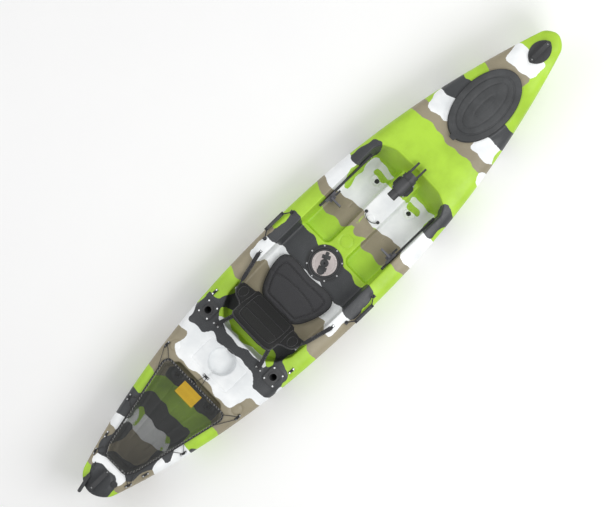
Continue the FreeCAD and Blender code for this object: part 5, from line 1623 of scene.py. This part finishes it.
class KAYAK_OT_finishes(bpy.types.Operator):
    """Makes the materials and dresses the carried-over nodes"""

    bl_idname = "kayak.finishes"
    bl_label = "Finishes"

    def execute(self, context):
        make_materials(context.scene.kayak_colours)
        dress_frame()
        return {"FINISHED"}


class KAYAK_OT_hull(bpy.types.Operator):
    """Builds the moulded hull shell with its tubs, wells and camouflage"""

    bl_idname = "kayak.hull"
    bl_label = "Hull shell"

    def execute(self, context):
        piece = build_hull_shell(context.scene.kayak_sizes.shell_wall)
        wear(piece, "camouflage")
        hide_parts("hull_bottom", "deck")
        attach(piece, "hull")
        return {"FINISHED"}


class KAYAK_OT_cushion(bpy.types.Operator):
    """Inflates and sews the seat pad"""

    bl_idname = "kayak.cushion"
    bl_label = "Seat pad"

    def execute(self, context):
        build_cushion()
        return {"FINISHED"}


class KAYAK_OT_back(bpy.types.Operator):
    """Inflates and sews the folding seat back"""

    bl_idname = "kayak.back"
    bl_label = "Seat back"

    def execute(self, context):
        build_back()
        return {"FINISHED"}


class KAYAK_OT_straps(bpy.types.Operator):
    """Lays the four seat straps"""

    bl_idname = "kayak.straps"
    bl_label = "Seat straps"

    def execute(self, context):
        build_straps(context.scene.kayak_sizes.strap_width)
        return {"FINISHED"}


class KAYAK_OT_bow_lid(bpy.types.Operator):
    """Builds the oval bow hatch lid"""

    bl_idname = "kayak.bow_lid"
    bl_label = "Bow lid"

    def execute(self, context):
        build_bow_lid()
        return {"FINISHED"}


class KAYAK_OT_round_lid(bpy.types.Operator):
    """Builds the round centre hatch lid"""

    bl_idname = "kayak.round_lid"
    bl_label = "Round lid"

    def execute(self, context):
        build_round_lid()
        return {"FINISHED"}


class KAYAK_OT_net(bpy.types.Operator):
    """Stretches the net over the tankwell"""

    bl_idname = "kayak.net"
    bl_label = "Net"

    def execute(self, context):
        build_net(context.scene.kayak_sizes.net_slack / MM)
        return {"FINISHED"}


class KAYAK_OT_stage(bpy.types.Operator):
    """Sets the floor, the studio light and the camera"""

    bl_idname = "kayak.stage"
    bl_label = "Stage"

    def execute(self, context):
        settings = context.scene.kayak_stage
        build_stage(settings)
        build_camera(settings)
        return {"FINISHED"}


OPERATORS = (
    KAYAK_OT_finishes, KAYAK_OT_hull, KAYAK_OT_cushion, KAYAK_OT_back, KAYAK_OT_straps,
    KAYAK_OT_bow_lid, KAYAK_OT_round_lid, KAYAK_OT_net, KAYAK_OT_stage,
)


GROUPS = {"kayak_colours": KayakColours, "kayak_sizes": KayakSizes, "kayak_stage": KayakStage}


class KAYAK_PT_panel(bpy.types.Panel):
    """Lists the kayak's pieces, colours and sizes"""

    bl_idname = "KAYAK_PT_panel"
    bl_label = "Kayak"
    bl_space_type = "VIEW_3D"
    bl_region_type = "UI"
    bl_category = "Kayak"

    def draw(self, context):
        for operator in OPERATORS:
            self.layout.operator(operator.bl_idname)
        for name, group in GROUPS.items():
            for key in group.__annotations__:
                self.layout.prop(getattr(context.scene, name), key)


CLASSES = (*GROUPS.values(), *OPERATORS, KAYAK_PT_panel)


def register():
    for item in CLASSES:
        bpy.utils.register_class(item)
    for name, group in GROUPS.items():
        setattr(bpy.types.Scene, name, bpy.props.PointerProperty(type=group))


def unregister():
    for name in GROUPS:
        delattr(bpy.types.Scene, name)
    for item in reversed(CLASSES):
        bpy.utils.unregister_class(item)


def main():
    """Builds everything in order."""
    register()
    for operator in OPERATORS:
        group, name = operator.bl_idname.split(".")
        getattr(getattr(bpy.ops, group), name)()
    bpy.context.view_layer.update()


if __name__ == "__main__":
    main()
